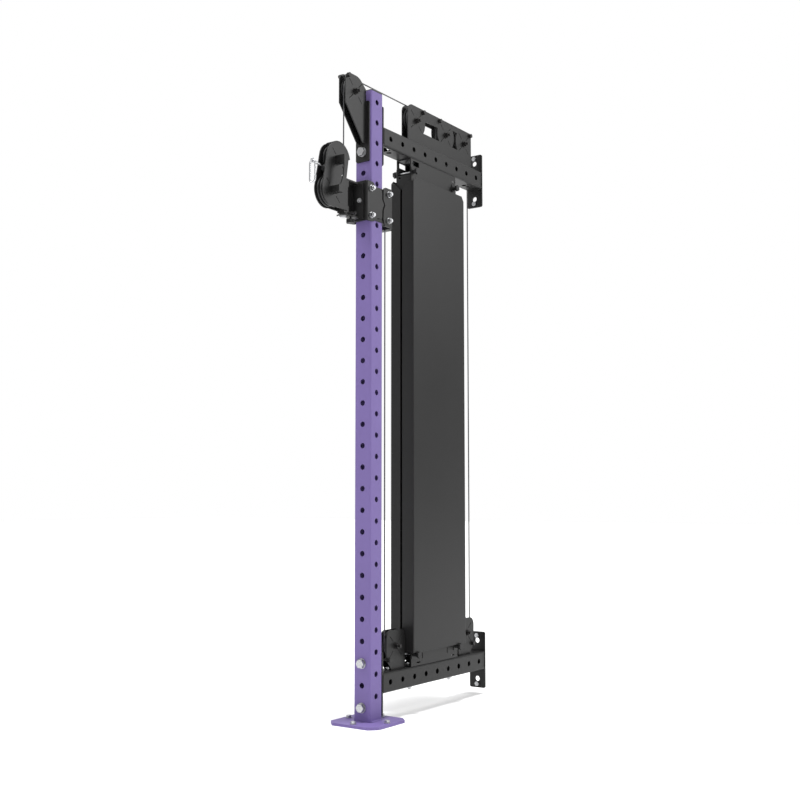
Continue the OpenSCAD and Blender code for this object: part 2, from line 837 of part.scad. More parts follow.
module bottom_bracket(yc, dir) {
    r = 30;
    top = low_axle_z + plate_r;
    cut = 31;
    difference() {
        union() {
            for (x0 = [-plate_half, plate_gap / 2])
                yz_plate(x0, plate_t)
                    translate([yc, 0])
                        scale([dir, 1])
                            difference() {
                                union() {
                                    span([-plate_r, low_beam_top], [plate_r, top - r]);
                                    span([r - plate_r, low_beam_top], [plate_r - r, top]);
                                    for (s = [-1, 1])
                                        translate([s * (plate_r - r), top - r])
                                            circle(r = r);
                                }
                                polygon([[-plate_r - 1, low_beam_top - 1], [cut - plate_r + 1, low_beam_top - 1],
                                    [-plate_r - 1, low_beam_top + 40]]);
                                cross_slots(0, low_axle_z);
                                axle_hole(0, low_axle_z);
                                retainer_hole(-retainer_off, low_axle_z - retainer_off);
                            }
            translate([-plate_half, dir > 0 ? yc - plate_r + cut + 2 : yc - plate_r, low_beam_top])
                cube([2 * plate_half, 2 * plate_r - cut - 2, plate_t]);
        }
        for (s = [-1, 1])
            z_rod(0, yc + s * low_screw_off, low_beam_top - 1, low_screw_d + 2 * bolt_gap, plate_t + 2);
    }
}

module bottom_front_bracket() {
    color(steel_grey)
        bottom_bracket(low_front_y, 1);
}

module bottom_rear_bracket() {
    color(steel_grey)
        bottom_bracket(wheel_c_y, -1);
}

module pulley_bolts() {
    k = retainer_off;
    color(steel_black) {
        axle_set(front_axle_y, top_axle_z, plate_half, plate_gap);
        for (y = [wheel_a_y, wheel_b_y, wheel_c_y])
            axle_set(y, top_axle_z, plate_half, plate_gap);
        for (y = [low_front_y, wheel_c_y])
            axle_set(y, low_axle_z, plate_half, plate_gap);
        retainer(front_axle_y - k, top_axle_z + k, plate_half, plate_gap);
        retainer(wheel_a_y + k, top_axle_z + k, plate_half, plate_gap);
        retainer(wheel_b_y - k, top_axle_z + k, plate_half, plate_gap);
        retainer(wheel_c_y + k, top_axle_z + k, plate_half, plate_gap);
        retainer(low_front_y - k, low_axle_z - k, plate_half, plate_gap);
        retainer(wheel_c_y + k, low_axle_z - k, plate_half, plate_gap);
    }
}

module fixed_pulley(y, z) {
    color(plastic)
        pulley(y, z, cable_r, plate_gap - 2 * hub_gap);
}

module top_front_wheel() {
    fixed_pulley(front_axle_y, top_axle_z);
}

module rear_wheel_a() {
    fixed_pulley(wheel_a_y, top_axle_z);
}

module rear_wheel_b() {
    fixed_pulley(wheel_b_y, top_axle_z);
}

module rear_wheel_c() {
    fixed_pulley(wheel_c_y, top_axle_z);
}

module bottom_front_wheel() {
    fixed_pulley(low_front_y, low_axle_z);
}

module bottom_rear_wheel() {
    fixed_pulley(wheel_c_y, low_axle_z);
}

// Shroud

// strip inside a shell that reaches a clamp stud
module shell_strip(y, stud_z, shelf_z) {
    strip_w = 30;
    z0 = min(stud_z - 16, shelf_z);
    z1 = max(stud_z + 16, shelf_z + sheet_t);
    difference() {
        union() {
            translate([strip_x, y - strip_w / 2, z0])
                cube([sheet_t, strip_w, z1 - z0]);
            translate([strip_x, y - strip_w / 2, shelf_z])
                cube([shroud_w / 2 - sheet_t / 2 - strip_x, strip_w, sheet_t]);
        }
        x_rod(0, y, stud_z, stud_d + 0.6, shroud_w);
    }
}

module shroud_shell(dir) {
    edge = abs(seam_x + dir * seam_w / 2) * (seam_x + dir * seam_w / 2 > 0 ? dir : -dir);
    front_top = shroud_z1 - 16;
    seam_low = front_top - seam_cut;
    reach = seam_cut + 4;
    scale([dir, 1, 1]) {
        difference() {
            intersection() {
                xy_plate(shroud_z0, shroud_z1 - shroud_z0)
                    intersection() {
                        translate([0, stack_y])
                            difference() {
                                rounded_rect(shroud_w, shroud_depth, sheet_r);
                                rounded_rect(shroud_w - 2 * sheet_t, shroud_depth - 2 * sheet_t,
                                    sheet_r - sheet_t);
                            }
                        span([edge, shroud_y0 - 1], [shroud_w, shroud_y1 + 1]);
                    }
                yz_plate(-shroud_w, 2 * shroud_w)
                    polygon([[shroud_y0, shroud_z0], [shroud_y1, shroud_z0], [shroud_y1, shroud_z1 - 24],
                        [shroud_y1 - 18, shroud_z1], [shroud_y0 + 16, shroud_z1], [shroud_y0, front_top]]);
            }
            for (y0 = [shroud_y0 - 1, shroud_y1 - sheet_t - 1])
                xz_plate(y0, sheet_t + 2)
                    polygon([[edge - 1, seam_low - 1], [edge, seam_low], [edge + reach, seam_low + reach],
                        [edge - 1, seam_low + reach]]);
            if (dir < 0)
                pin_slot();
        }
        for (y = [stud_front_y, stud_rear_y]) {
            shell_strip(y, stud_top_z, shroud_z1 - 42);
            shell_strip(y, stud_low_z, shroud_z0 + 18);
        }
    }
}

// opening in the left panel for the selector pin's head over the stack's travel
module pin_slot() {
    slot_w = 36;
    xy_low = weights_z;
    z1 = pin_z + stack_travel + 40;
    translate([shroud_w / 2 - sheet_t - 1, stack_y - slot_w / 2, xy_low])
        cube([sheet_t + 2, slot_w, z1 - xy_low]);
}

module shroud_left() {
    color(steel_grey)
        shroud_shell(-1);
}

module shroud_right() {
    color(steel_grey)
        shroud_shell(1);
}

module bracket_legs(z0, z1) {
    for (x0 = [-leg_x, leg_x - leg_t])
        translate([x0, bracket_y0, z0])
            cube([leg_t, bracket_y1 - bracket_y0, z1 - z0]);
}

module shroud_top_bracket() {
    leg_low = shroud_z1 - 40;
    lip_t = 3;
    window_y = stud_front_y + 20;
    window_z = high_beam_bottom - 17.5;
    color(steel_black)
        difference() {
            union() {
                bracket_legs(leg_low, high_beam_bottom);
                translate([-leg_x, bracket_y0, high_beam_bottom - leg_t])
                    cube([2 * leg_x, bracket_y1 - bracket_y0, leg_t]);
                translate([-leg_x, bracket_y0, leg_low])
                    cube([2 * leg_x, lip_t, stud_top_z - 12 - leg_low]);
            }
            translate([-tube_w, 0, 0])
                yz_plate(0, 2 * tube_w)
                    translate([window_y, window_z])
                        rounded_rect(46, 21, 4);
            for (y = [stud_front_y, stud_rear_y])
                x_rod(-tube_w, y, stud_top_z, stud_d + 0.6, 2 * tube_w);
            for (y = [wheel_a_y + cable_r, wheel_b_y - cable_r])
                z_rod(0, y, high_beam_bottom - leg_t - 1, cable_hole, leg_t + 2);
            for (s = [-1, 1]) {
                z_rod(0, stack_y + s * clamp_bolt_y, high_beam_bottom - leg_t - 1, clamp_bolt_d + 1, leg_t + 2);
                z_rod(0, stack_y + s * rod_gap / 2, high_beam_bottom - leg_t - 1, rod_d + 0.4, leg_t + 2);
            }
            y_rod(-20, bracket_y0 - 1, stud_top_z - 21, 9, lip_t + 2);
            for (s = [-1, 1])
                x_rod(-tube_w, stud_rear_y + s * 9, high_beam_bottom - 24, 5, 2 * tube_w);
            translate([-tube_w, stud_rear_y - 9, high_beam_bottom - 26.5])
                cube([2 * tube_w, 18, 5]);
        }
}

module shroud_bottom_bracket() {
    leg_top = base_z + 16;
    slit_w = 5;
    color(steel_black)
        difference() {
            union() {
                bracket_legs(low_beam_top, leg_top);
                translate([-leg_x, bracket_y0, low_beam_top])
                    cube([2 * leg_x, bracket_y1 - bracket_y0, leg_t]);
                translate([-leg_x, bracket_y0, base_z])
                    cube([2 * leg_x, bracket_y1 - bracket_y0, base_t]);
            }
            for (y = [stud_front_y, stud_rear_y])
                x_rod(-tube_w, y, stud_low_z, stud_d + 0.6, 2 * tube_w);
            for (y = [stud_front_y + 61, stud_rear_y - 61])
                translate([-tube_w, y - slit_w / 2, low_beam_top + 24.5])
                    cube([2 * tube_w, slit_w, 22]);
            for (y = [stud_front_y + 35, stud_rear_y - 21])
                translate([-tube_w, y - 12, low_beam_top + 9.5])
                    cube([2 * tube_w, 24, slit_w]);
            for (s = [-1, 1]) {
                z_rod(0, stack_y + s * clamp_bolt_y, low_beam_top - 1, clamp_bolt_d + 1, leg_t + 2);
                z_rod(0, stack_y + s * rod_gap / 2, base_z - 1, rod_d + 0.4, base_t + 2);
            }
        }
}

module shroud_studs() {
    color(silver)
        for (y = [stud_front_y, stud_rear_y], row = [[stud_top_z, top_knob_x], [stud_low_z, low_knob_x]]) {
            half = row[1] + knob_l - knob_cap;
            x_rod(-half, y, row[0], stud_d, 2 * half);
        }
}

module clamp_knob(y, z, knob_x) {
    lobes = 6;
    difference() {
        union() {
            x_rod(strip_x + sheet_t, y, z, knob_d * 0.6, knob_x - strip_x - sheet_t + 1);
            translate([knob_x, y, z])
                rotate([0, 90, 0])
                    linear_extrude(knob_l) {
                        circle(d = knob_d - 4);
                        for (i = [0 : lobes - 1])
                            rotate(i * 360 / lobes)
                                translate([knob_d / 2 - 4, 0])
                                    circle(d = 8);
                    }
        }
        x_rod(strip_x, y, z, stud_d + 0.2, knob_x + knob_l - knob_cap - strip_x);
    }
}

module shroud_knobs() {
    color(plastic)
        for (y = [stud_front_y, stud_rear_y], side = [0, 1])
            mirror([side, 0, 0]) {
                clamp_knob(y, stud_top_z, top_knob_x);
                clamp_knob(y, stud_low_z, low_knob_x);
            }
}

// Weight stack

module guide_rods() {
    color(silver)
        for (s = [-1, 1])
            z_rod(0, stack_y + s * rod_gap / 2, base_z, rod_d, high_beam_bottom - base_z - 0.3);
}

module stack_buffers() {
    color(rubber)
        for (s = [-1, 1])
            difference() {
                z_rod(0, stack_y + s * rod_gap / 2, base_z + base_t, 2 * rod_d + 6, buffer_h);
                z_rod(0, stack_y + s * rod_gap / 2, base_z, rod_d + 1, base_t + buffer_h + 1);
            }
}

module weight_plate(z, rod_hole) {
    difference() {
        translate([0, stack_y, z])
            linear_extrude(weight_t)
                rounded_rect(weight_w, weight_l, 6);
        for (s = [-1, 1])
            z_rod(0, stack_y + s * rod_gap / 2, z - 1, rod_hole, weight_t + 2);
        z_rod(0, stack_y, z - 1, selector_d + 2, weight_t + 2);
        x_rod(-weight_w, stack_y, z + weight_t / 2, pin_d + 0.8, weight_w + selector_d / 2 + 3);
    }
}

module resting_plates() {
    color(steel_black)
        for (i = [0 : resting_count - 1])
            weight_plate(weights_z + i * weight_pitch, rod_d + 1);
}

module lifted_plates() {
    color(steel_black)
        for (i = [resting_count : resting_count + lifted_count - 1])
            weight_plate(weights_z + i * weight_pitch, rod_d + 1);
}

module head_plate() {
    color(steel_black)
        difference() {
            translate([0, stack_y, head_z])
                linear_extrude(head_t)
                    rounded_rect(weight_w, weight_l, 6);
            for (s = [-1, 1])
                z_rod(0, stack_y + s * rod_gap / 2, head_z - 1, rod_d + 0.2, head_t + 2);
            z_rod(0, stack_y, head_z - 1, selector_d + 0.2, head_t + 2);
        }
}

module selector_rod() {
    color(silver)
        difference() {
            z_rod(0, stack_y, weights_z + 1.5, selector_d, yoke_z - weights_z - 1.5);
            for (i = [0 : resting_count + lifted_count - 1])
                x_rod(-selector_d, stack_y, weights_z + weight_t / 2 + i * weight_pitch, pin_d + 0.2,
                    2 * selector_d);
        }
}

module stack_yoke() {
    yoke_w = 50;
    color(steel_black) {
        axle_set(stack_y, stack_axle_z, plate_half, plate_gap);
        translate([-plate_half, stack_y - yoke_w / 2, yoke_z])
            cube([2 * plate_half, yoke_w, yoke_t]);
        for (x0 = [-plate_half, plate_gap / 2])
            yz_plate(x0, plate_t) {
                span([stack_y - yoke_w / 2, yoke_z], [stack_y + yoke_w / 2, stack_axle_z]);
                translate([stack_y, stack_axle_z])
                    circle(d = yoke_w);
            }
    }
}

module stack_wheel() {
    color(plastic)
        pulley(stack_y, stack_axle_z, stack_cable_r, plate_gap - 2 * hub_gap);
}

module selector_pin() {
    head_d = 28;
    head_l = 24;
    head_x = shroud_w / 2 + 2;
    color(silver) {
        x_rod(-head_x - eps, stack_y, pin_z, pin_d, head_x + selector_d / 2 + 1);
        x_rod(-head_x - head_l, stack_y, pin_z, head_d, head_l);
    }
}

// Cable along its route

module cable_top_run() {
    run_z = top_axle_z + cable_r;
    color(cable_grey) {
        cable_arc(front_axle_y, top_axle_z, cable_r, 90, 180);
        cable_y(run_z, front_axle_y, wheel_a_y);
        cable_arc(wheel_a_y, top_axle_z, cable_r, 0, 90);
    }
}

module cable_rear_run() {
    color(cable_grey) {
        cable_arc(wheel_b_y, top_axle_z, cable_r, 90, 180);
        cable_y(top_axle_z + cable_r, wheel_b_y, wheel_c_y);
        cable_arc(wheel_c_y, top_axle_z, cable_r, 0, 90);
        cable_z(wheel_c_y + cable_r, low_axle_z, top_axle_z);
        cable_arc(wheel_c_y, low_axle_z, cable_r, -90, 0);
        cable_y(low_axle_z - cable_r, low_front_y, wheel_c_y);
        cable_arc(low_front_y, low_axle_z, cable_r, -180, -90);
    }
}

module cable_stack_falls() {
    color(cable_grey)
        for (s = [-1, 1])
            cable_z(stack_y + s * stack_cable_r, stack_axle_z, top_axle_z);
}

module cable_stack_loop() {
    color(cable_grey)
        cable_arc(stack_y, stack_axle_z, stack_cable_r, -180, 0);
}

module cable_front_drop() {
    color(cable_grey)
        cable_z(-swivel_y, house_upper_z, top_axle_z);
}

module cable_trolley_rise() {
    color(cable_grey)
        cable_z(anchor_y, low_axle_z, anchor_z - ferrule_l);
}

// Trolley

// liners on the four sides of the upright, cut to the bent corners of the steel brackets
module trolley_slider() {
    inner = half_w + slide_gap;
    corner = bracket_t;
    color(plastic)
        difference() {
            xy_plate(trolley_z - slider_h, 2 * slider_h)
                intersection() {
                    translate([0, (slider_rear - slider_front) / 2])
                        rounded_rect(2 * cheek_x, slider_front + slider_rear, corner);
                    union() {
                        for (s = [-1, 1])
                            translate([s * (inner + cheek_x) / 2, 0])
                                square([slider_wall, 4 * tube_w], center = true);
                        span([face_gap - inner, -2 * tube_w], [inner - face_gap, -inner]);
                        span([face_gap - inner, inner], [inner - face_gap, 2 * tube_w]);
                    }
                }
            for (s = [-1, 1], y = [-bolt_front, bolt_rear])
                x_rod(-tube_w, y, trolley_z + s * bolt_dz, side_bolt_d + 2 * bolt_gap, 2 * tube_w);
            x_rod(-tube_w, 0, trolley_z, bush_d + 2 * bolt_gap, tube_w);
            for (x = pivot_bolt_x)
                y_rod(x, -slider_front - 1, trolley_z, pivot_bolt_d + 2 * bolt_gap, pivot_bolt_in + 3);
        }
}

// steel channel across the trolley, seen from above, with bent corners at the end y0
module channel_section(y_web, y_open) {
    r = 8;
    depth = abs(y_open - y_web) + r;
    mid = (y_web + y_open) / 2 + (y_open > y_web ? r / 2 : -r / 2);
    inner_mid = mid + (y_open > y_web ? bracket_t : -bracket_t);
    outer_w = 2 * (cheek_x + bracket_t);
    difference() {
        translate([0, mid])
            rounded_rect(outer_w, depth, r);
        translate([0, inner_mid])
            rounded_rect(2 * cheek_x, depth, r - bracket_t);
    }
}

module trolley_front_bracket() {
    color(steel_black)
        difference() {
            intersection() {
                xy_plate(trolley_z - 80, 160)
                    channel_section(-web_front, 40);
                yz_plate(-tube_w, 2 * tube_w)
                    translate([0, trolley_z])
                        polygon([[-web_front, -75], [-web_front, 78], [-37, 78], [-28, 72], [-18, 61],
                            [waist - 12, 57], [waist - 1, 53], [waist, 46], [waist - 1, 24], [waist + 6, 14],
                            [waist + 12, 5], [waist + 6, -7], [waist + 1, -18], [waist, -44], [waist - 1, -50],
                            [waist - 8, -54], [-8, -55], [-18, -61], [-30, -72], [-46, -75]]);
            }
            for (s = [-1, 1])
                x_rod(-tube_w, -bolt_front, trolley_z + s * bolt_dz, side_bolt_d + 2 * bolt_gap, 2 * tube_w);
            x_rod(-tube_w, 0, trolley_z, bush_d + 2 * bolt_gap, tube_w);
            for (x = pivot_bolt_x)
                y_rod(x, -web_front - 1, trolley_z, pivot_bolt_d + 2 * bolt_gap, bracket_t + 2);
        }
}

module trolley_rear_bracket() {
    back = slider_rear + bracket_t;
    edge = waist + waist_gap;
    tab_w = 48;
    tab_end = 14;
    color(steel_black)
        difference() {
            union() {
                intersection() {
                    xy_plate(trolley_z - 80, 160)
                        channel_section(back, waist - 3);
                    yz_plate(-tube_w, 2 * tube_w)
                        translate([0, trolley_z])
                            polygon([[edge + 8, -77], [edge + 6, -68], [edge, -52], [edge, -44], [edge + 1, -18],
                                [edge + 5, -8], [edge + 11, 4], [edge + 6, 15], [edge, 24], [edge, 58],
                                [edge + 2, 66], [edge + 7, 72], [edge + 15, 75], [back, 75], [back, -77]]);
                }
                translate([-tab_w / 2, back - bracket_t, anchor_z])
                    cube([tab_w, anchor_y + tab_end - back + bracket_t, bracket_t]);
            }
            for (s = [-1, 1])
                x_rod(-tube_w, bolt_rear, trolley_z + s * bolt_dz, side_bolt_d + 2 * bolt_gap, 2 * tube_w);
            z_rod(0, anchor_y, anchor_z - 3, anchor_d + 2 * bolt_gap, 12);
        }
}

module trolley_bolts() {
    face = cheek_x + bracket_t;
    washer_t = 2.5;
    head_h = 7.5;
    nut_h = 10;
    tail = 5;
    flats = 18;
    color(silver) {
        for (s = [-1, 1], y = [-bolt_front, bolt_rear]) {
            z = trolley_z + s * bolt_dz;
            x_rod(-face - washer_t - eps, y, z, side_bolt_d, 2 * face + 2 * washer_t + nut_h + tail);
            x_rod(-face - washer_t, y, z, 2 * side_bolt_d, washer_t);
            x_hex(-face - washer_t - head_h, y, z, flats, head_h);
            x_rod(face, y, z, 2 * side_bolt_d, washer_t);
            x_hex(face + washer_t, y, z, flats, nut_h);
        }
        for (x = pivot_bolt_x) {
            front = -web_front - pivot_flange_t;
            y_rod(x, front - 11, trolley_z, pivot_bolt_d, 11 + pivot_flange_t + bracket_t + pivot_bolt_in);
            y_hex(x, front - 8, trolley_z, 17, 8);
        }
    }
}

module pivot_bracket() {
    side_x0 = -22;
    front = -web_front - pivot_flange_t;
    nose_r = 17;
    tab_x1 = 16;
    color(steel_black)
        difference() {
            union() {
                translate([-42, front, low_tab_z])
                    cube([73, pivot_flange_t, top_tab_z + tab_t - low_tab_z]);
                translate([side_x0, -swivel_y + 48.5, low_tab_z])
                    cube([5, swivel_y - 48.5 + front + eps, top_tab_z + tab_t - low_tab_z]);
                for (z0 = [low_tab_z, top_tab_z])
                    xy_plate(z0, tab_t) {
                        span([side_x0, -swivel_y + 48.5], [tab_x1, front + eps]);
                        span([-nose_r, -swivel_y], [tab_x1, front]);
                        translate([0, -swivel_y])
                            circle(r = nose_r);
                    }
            }
            z_rod(0, -swivel_y, low_tab_z - 1, swivel_d + 2 * run_fit, top_tab_z - low_tab_z + 20);
            z_rod(0, -index_y, low_tab_z - 1, index_d + 2 * run_fit, tab_t + 2);
            for (x = pivot_bolt_x)
                y_rod(x, front - 1, trolley_z, pivot_bolt_d + 2 * bolt_gap, pivot_flange_t + 2);
        }
}

// threaded end fitting of the cable's rear end, and the bush that guides the locking pin
module trolley_fittings() {
    tab_top = anchor_z + bracket_t;
    inner_x = half_w + 0.7;
    outer_x = cheek_x + bracket_t;
    color(silver) {
        z_rod(0, anchor_y, anchor_z - ferrule_l, 9, ferrule_l + 2);
        z_rod(0, anchor_y, anchor_z - eps, anchor_d, bracket_t + 14);
        z_hex(0, anchor_y, tab_top, 17, 8);
        difference() {
            union() {
                x_rod(-outer_x - eps, 0, trolley_z, bush_d, outer_x - inner_x);
                x_hex(-outer_x - 22, 0, trolley_z, 27, 22);
            }
            x_rod(-outer_x - 16, 0, trolley_z, lock_d + 2 * run_fit, 40);
            x_rod(-outer_x - 30, 0, trolley_z, 12 + 2 * run_fit, 40);
        }
    }
}

// the tip is drawn back, so the trolley is free to slide
module lock_pin() {
    tip_x = -half_w - 0.7;
    knob_r = 19;
    color(plastic) {
        x_rod(tip_x - 10, 0, trolley_z, lock_d, 10);
        x_rod(tip_x - 54, 0, trolley_z, 12, 46);
        x_rod(tip_x - 74, 0, trolley_z, 2 * knob_r, 22);
    }
}

// the tip is drawn back, so the housing is free to turn
module index_pin() {
    tip_z = low_tab_z + tab_t - 0.5;
    knob_top = low_tab_z - index_stroke - 0.5;
    knob_h = 14;
    color(plastic) {
        z_rod(0, -index_y, knob_top - eps, index_d, tip_z - knob_top);
        translate([0, -index_y, knob_top - knob_h])
            linear_extrude(knob_h) {
                circle(d = 28);
                for (i = [0 : 5])
                    rotate(i * 60)
                        translate([12, 0])
                            circle(d = 10);
            }
    }
}

// Swivelling pulley housing

module house_outline() {
    lean = atan2(house_step, house_upper_z - house_lower_z);
    out = [-house_r * cos(lean), house_r * sin(lean)];
    upper = [house_upper_y - 6, house_upper_z + 4];
    lower = [house_lower_y, house_lower_z];
    rear = 1.5 - swivel_y;
    bottom = low_tab_z + tab_t + 8;
    waist = top_tab_z - 1.5;
    translate(upper)
        circle(r = house_r);
    translate(lower)
        circle(r = house_r);
    polygon([upper + out, lower + out, lower, [rear - 35, house_lower_z], [rear - 35, waist], upper]);
    polygon([[house_lower_y, bottom], [rear, bottom], [rear, waist], [rear - 37, waist], lower]);
}

module house_plate(x0) {
    color(steel_grey)
        yz_plate(x0, plate_t)
            difference() {
                house_outline();
                cross_slots(house_upper_y, house_upper_z, [135, 315]);
                cross_slots(house_lower_y, house_lower_z, [135, 315]);
                axle_hole(house_upper_y, house_upper_z);
                axle_hole(house_lower_y, house_lower_z);
            }
}

module swivel_left_plate() {
    house_plate(-house_half);
}

module swivel_right_plate() {
    house_plate(house_gap / 2);
}

// outlines of the two notched index plates, which leave the middle notch open between them
module index_sector() {
    spread = 68;
    difference() {
        intersection() {
            circle(r = sector_r);
            polygon([[0, 0], 2 * sector_r * [-sin(spread), cos(spread)], [-2 * sector_r, 2 * sector_r],
                [2 * sector_r, 2 * sector_r], 2 * sector_r * [sin(spread), cos(spread)]]);
        }
        for (a = [-60 : sector_step : 60])
            rotate(a)
                translate([-index_d / 2 - bolt_gap, swivel_y - index_y - index_d / 2 - bolt_gap])
                    square([index_d + 2 * bolt_gap, sector_r]);
        translate([-index_d / 2 - bolt_gap, 0])
            square([index_d + 2 * bolt_gap, sector_r]);
        translate([-house_gap / 2 - bolt_gap, -block_front])
            square([house_gap + 2 * bolt_gap, block_d + bolt_gap]);
    }
}

// bolt above and bolt below that the housing turns on
module swivel_pivots() {
    flats = 22;
    head_h = 9;
    color(silver) {
        z_rod(0, -swivel_y, top_tab_z - face_gap, swivel_d, tab_t + 2 * face_gap + 2);
        z_hex(0, -swivel_y, top_tab_z + tab_t + face_gap, flats, head_h);
        z_rod(0, -swivel_y, low_tab_z - face_gap - 2, swivel_d, tab_t + 2 * face_gap + 2);
        z_hex(0, -swivel_y, low_tab_z - face_gap - head_h, flats, head_h);
    }
}

// rim between the plates that keeps fingers and the cable off the upper pulley
module swivel_guard() {
    inner_r = cable_r + rim_lip + 1;
    outer_r = house_r + 4.5;
    reach = 2 * outer_r;
    color(plastic)
        difference() {
            yz_plate(-house_gap / 2, house_gap)
                translate([house_upper_y, house_upper_z])
                    intersection() {
                        difference() {
                            translate([7, 8])
                                circle(r = outer_r);
                            circle(r = inner_r);
                        }
                        polygon([[0, 0], reach * [cos(15), sin(15)], reach * [1, 1], reach * [-0.2, 1],
                            reach * [cos(117), sin(117)]]);
                    }
            z_rod(0, -swivel_y, house_upper_z - outer_r, cable_d + 6, 2 * outer_r);
        }
}

module swivel_handle() {
    bar_x = house_half + grip_gap;
    uy = house_upper_y;
    uz = house_upper_z;
    ly = house_lower_y;
    lz = house_lower_z;
    corner = 4;
    color(steel_grey)
        difference() {
            union() {
                yz_plate(house_half, grip_gap + grip_t) {
                    span([uy + 7 - grip_w, uz - 17], [uy + 7 - corner, uz + 12]);
                    span([ly + 10 - grip_w, lz - 14], [ly + 10 - corner, lz + 11]);
                }
                yz_plate(bar_x, grip_t)
                    polygon([[uy + 7 - grip_w, uz + 12], [uy + 7 - corner, uz + 12], [uy + 7, uz + 12 - corner],
                        [uy + 2, uz - 25], [uy - 7, uz - 79], [ly + 16, lz + 4], [ly + 13, lz - 8],
                        [ly + 10 - corner, lz - 14], [ly + 10 - grip_w, lz - 14], [ly + 10 - grip_w, lz + 11],
                        [ly - 9, lz + 14], [ly - 2, lz + 21], [uy - 24, uz - 68], [uy - 19, uz - 30],
                        [uy + 7 - grip_w, uz - 17]]);
            }
            for (c = [[uy, uz], [ly, lz]])
                x_rod(0, c[0], c[1], axle_d + 2 * bolt_gap, house_half + axle_in + 1);
        }
}

// axle bolts of the housing's pulleys, the blocks between its plates, and two notched index plates
module swivel_axles() {
    washer_t = 2.5;
    head_h = 8;
    block_y0 = -swivel_y - block_front;
    low_z = low_tab_z + tab_t + face_gap;
    color(steel_black) {
        for (c = [[house_upper_y, house_upper_z], [house_lower_y, house_lower_z]]) {
            x_hex(-house_half - washer_t - head_h, c[0], c[1], 1.6 * axle_d, head_h + eps);
            x_rod(-house_half - washer_t, c[0], c[1], 2.3 * axle_d, washer_t);
            x_rod(-house_half - washer_t, c[0], c[1], axle_d, 2 * house_half + washer_t + axle_in);
            x_rod(-house_gap / 2, c[0], c[1], sleeve_d, house_gap);
        }
        translate([-house_gap / 2, block_y0, top_tab_z - face_gap - 25])
            cube([house_gap, block_d, 25]);
        translate([-house_gap / 2, block_y0, low_z])
            cube([house_gap, block_d, 28]);
        translate([0, -swivel_y, 0])
            xy_plate(low_z, sector_t)
                index_sector();
    }
}

module swivel_upper_wheel() {
    color(plastic)
        pulley(house_upper_y, house_upper_z, cable_r, house_gap - 2 * hub_gap);
}

module swivel_lower_wheel() {
    color(plastic)
        pulley(house_lower_y, house_lower_z, cable_r, house_gap - 2 * hub_gap);
}

module along_pull(t) {
    translate(pull_from + t * pull_dir)
        rotate([90 - pull_slope, 0, 0])
            children();
}

module cable_swivel_loop() {
    color(cable_grey) {
        cable_arc(house_upper_y, house_upper_z, cable_r, -90 - pull_slope, 0);
        along_pull(2 * eps)
            cylinder(d = cable_d, h = ball_at - ball_d / 2 - 0.4);
    }
}

// Cable end and snap hook

module cable_end() {
    color(rubber)
        difference() {
            along_pull(ball_at)
                sphere(d = ball_d);
            along_pull(ball_at + ball_d / 2 - shank_in)
                cylinder(d = shank_d + 2 * bolt_gap, h = ball_d);
        }
}

// steel shank out of the stop ball, with a ring for the snap hook
module cable_link() {
    from = ball_at + ball_d / 2 - shank_in;
    color(silver) {
        along_pull(from)
            cylinder(d = shank_d, h = ring_at - ring_r + ring_wire - 1 - from);
        translate(ring_c)
            rotate([0, 90, 0])
                rotate_extrude()
                    translate([ring_r, 0])
                        circle(r = ring_wire);
    }
}

module hook_arc(z, from, to) {
    translate([0, ring_c[1], z])
        rotate([90, 0, 0])
            rotate([0, 0, from])
                rotate_extrude(angle = to - from)
                    translate([hook_r, 0])
                        circle(d = hook_d);
}

module snap_hook() {
    arc_top = hook_z - hook_r;
    arc_low = hook_z - hook_l + hook_d + hook_r;
    side_l = arc_top - arc_low;
    color(silver) {
        hook_arc(arc_top, 0, 180);
        hook_arc(arc_low, 180, 360);
        z_rod(-hook_r, ring_c[1], arc_low, hook_d, side_l);
        z_rod(hook_r, ring_c[1], arc_low, hook_d, gate_z0 - arc_low - 0.3);
        z_rod(hook_r, ring_c[1], gate_z0 + gate_l + 0.6, hook_d, arc_top - gate_z0 - gate_l - 0.6);
    }
}

module snap_gate() {
    gate_d = hook_d - 1;
    color(silver) {
        translate([hook_r, ring_c[1], gate_z0 + gate_d / 2])
            sphere(d = gate_d);
        z_rod(hook_r, ring_c[1], gate_z0 + gate_d / 2, gate_d, gate_l - gate_d / 2);
    }
}

upright();
upright_cap();
foot_plate();
anchor_bolts();
lower_crossmember();
upper_crossmember();
frame_bolts();
top_front_bracket();
top_rear_bracket();
bottom_front_bracket();
bottom_rear_bracket();
pulley_bolts();
shroud_left();
shroud_right();
shroud_top_bracket();
shroud_bottom_bracket();
shroud_studs();
shroud_knobs();
guide_rods();
stack_buffers();
resting_plates();
cable_top_run();
cable_rear_run();
cable_stack_falls();
cable_front_drop();
cable_trolley_rise();
top_front_wheel();
rear_wheel_a();
rear_wheel_b();
rear_wheel_c();
bottom_front_wheel();
bottom_rear_wheel();
lifted_plates();
head_plate();
selector_rod();
stack_yoke();
cable_stack_loop();
stack_wheel();
selector_pin();
trolley_front_bracket();
trolley_rear_bracket();
trolley_slider();
trolley_bolts();
pivot_bracket();
trolley_fittings();
lock_pin();
index_pin();
swivel_left_plate();
swivel_right_plate();
swivel_pivots();
swivel_guard();
swivel_handle();
swivel_axles();
cable_swivel_loop();
swivel_upper_wheel();
swivel_lower_wheel();
cable_end();
cable_link();
snap_hook();
snap_gate();
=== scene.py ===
"""Looks of a wall pulley weight stack.

Finishes, weld beads, straight cable lengths, studio and camera.
"""

from __future__ import annotations

import logging
import math
from dataclasses import dataclass, field
from enum import Enum
from typing import Mapping, Sequence, Union

import bpy
from mathutils import Matrix, Vector

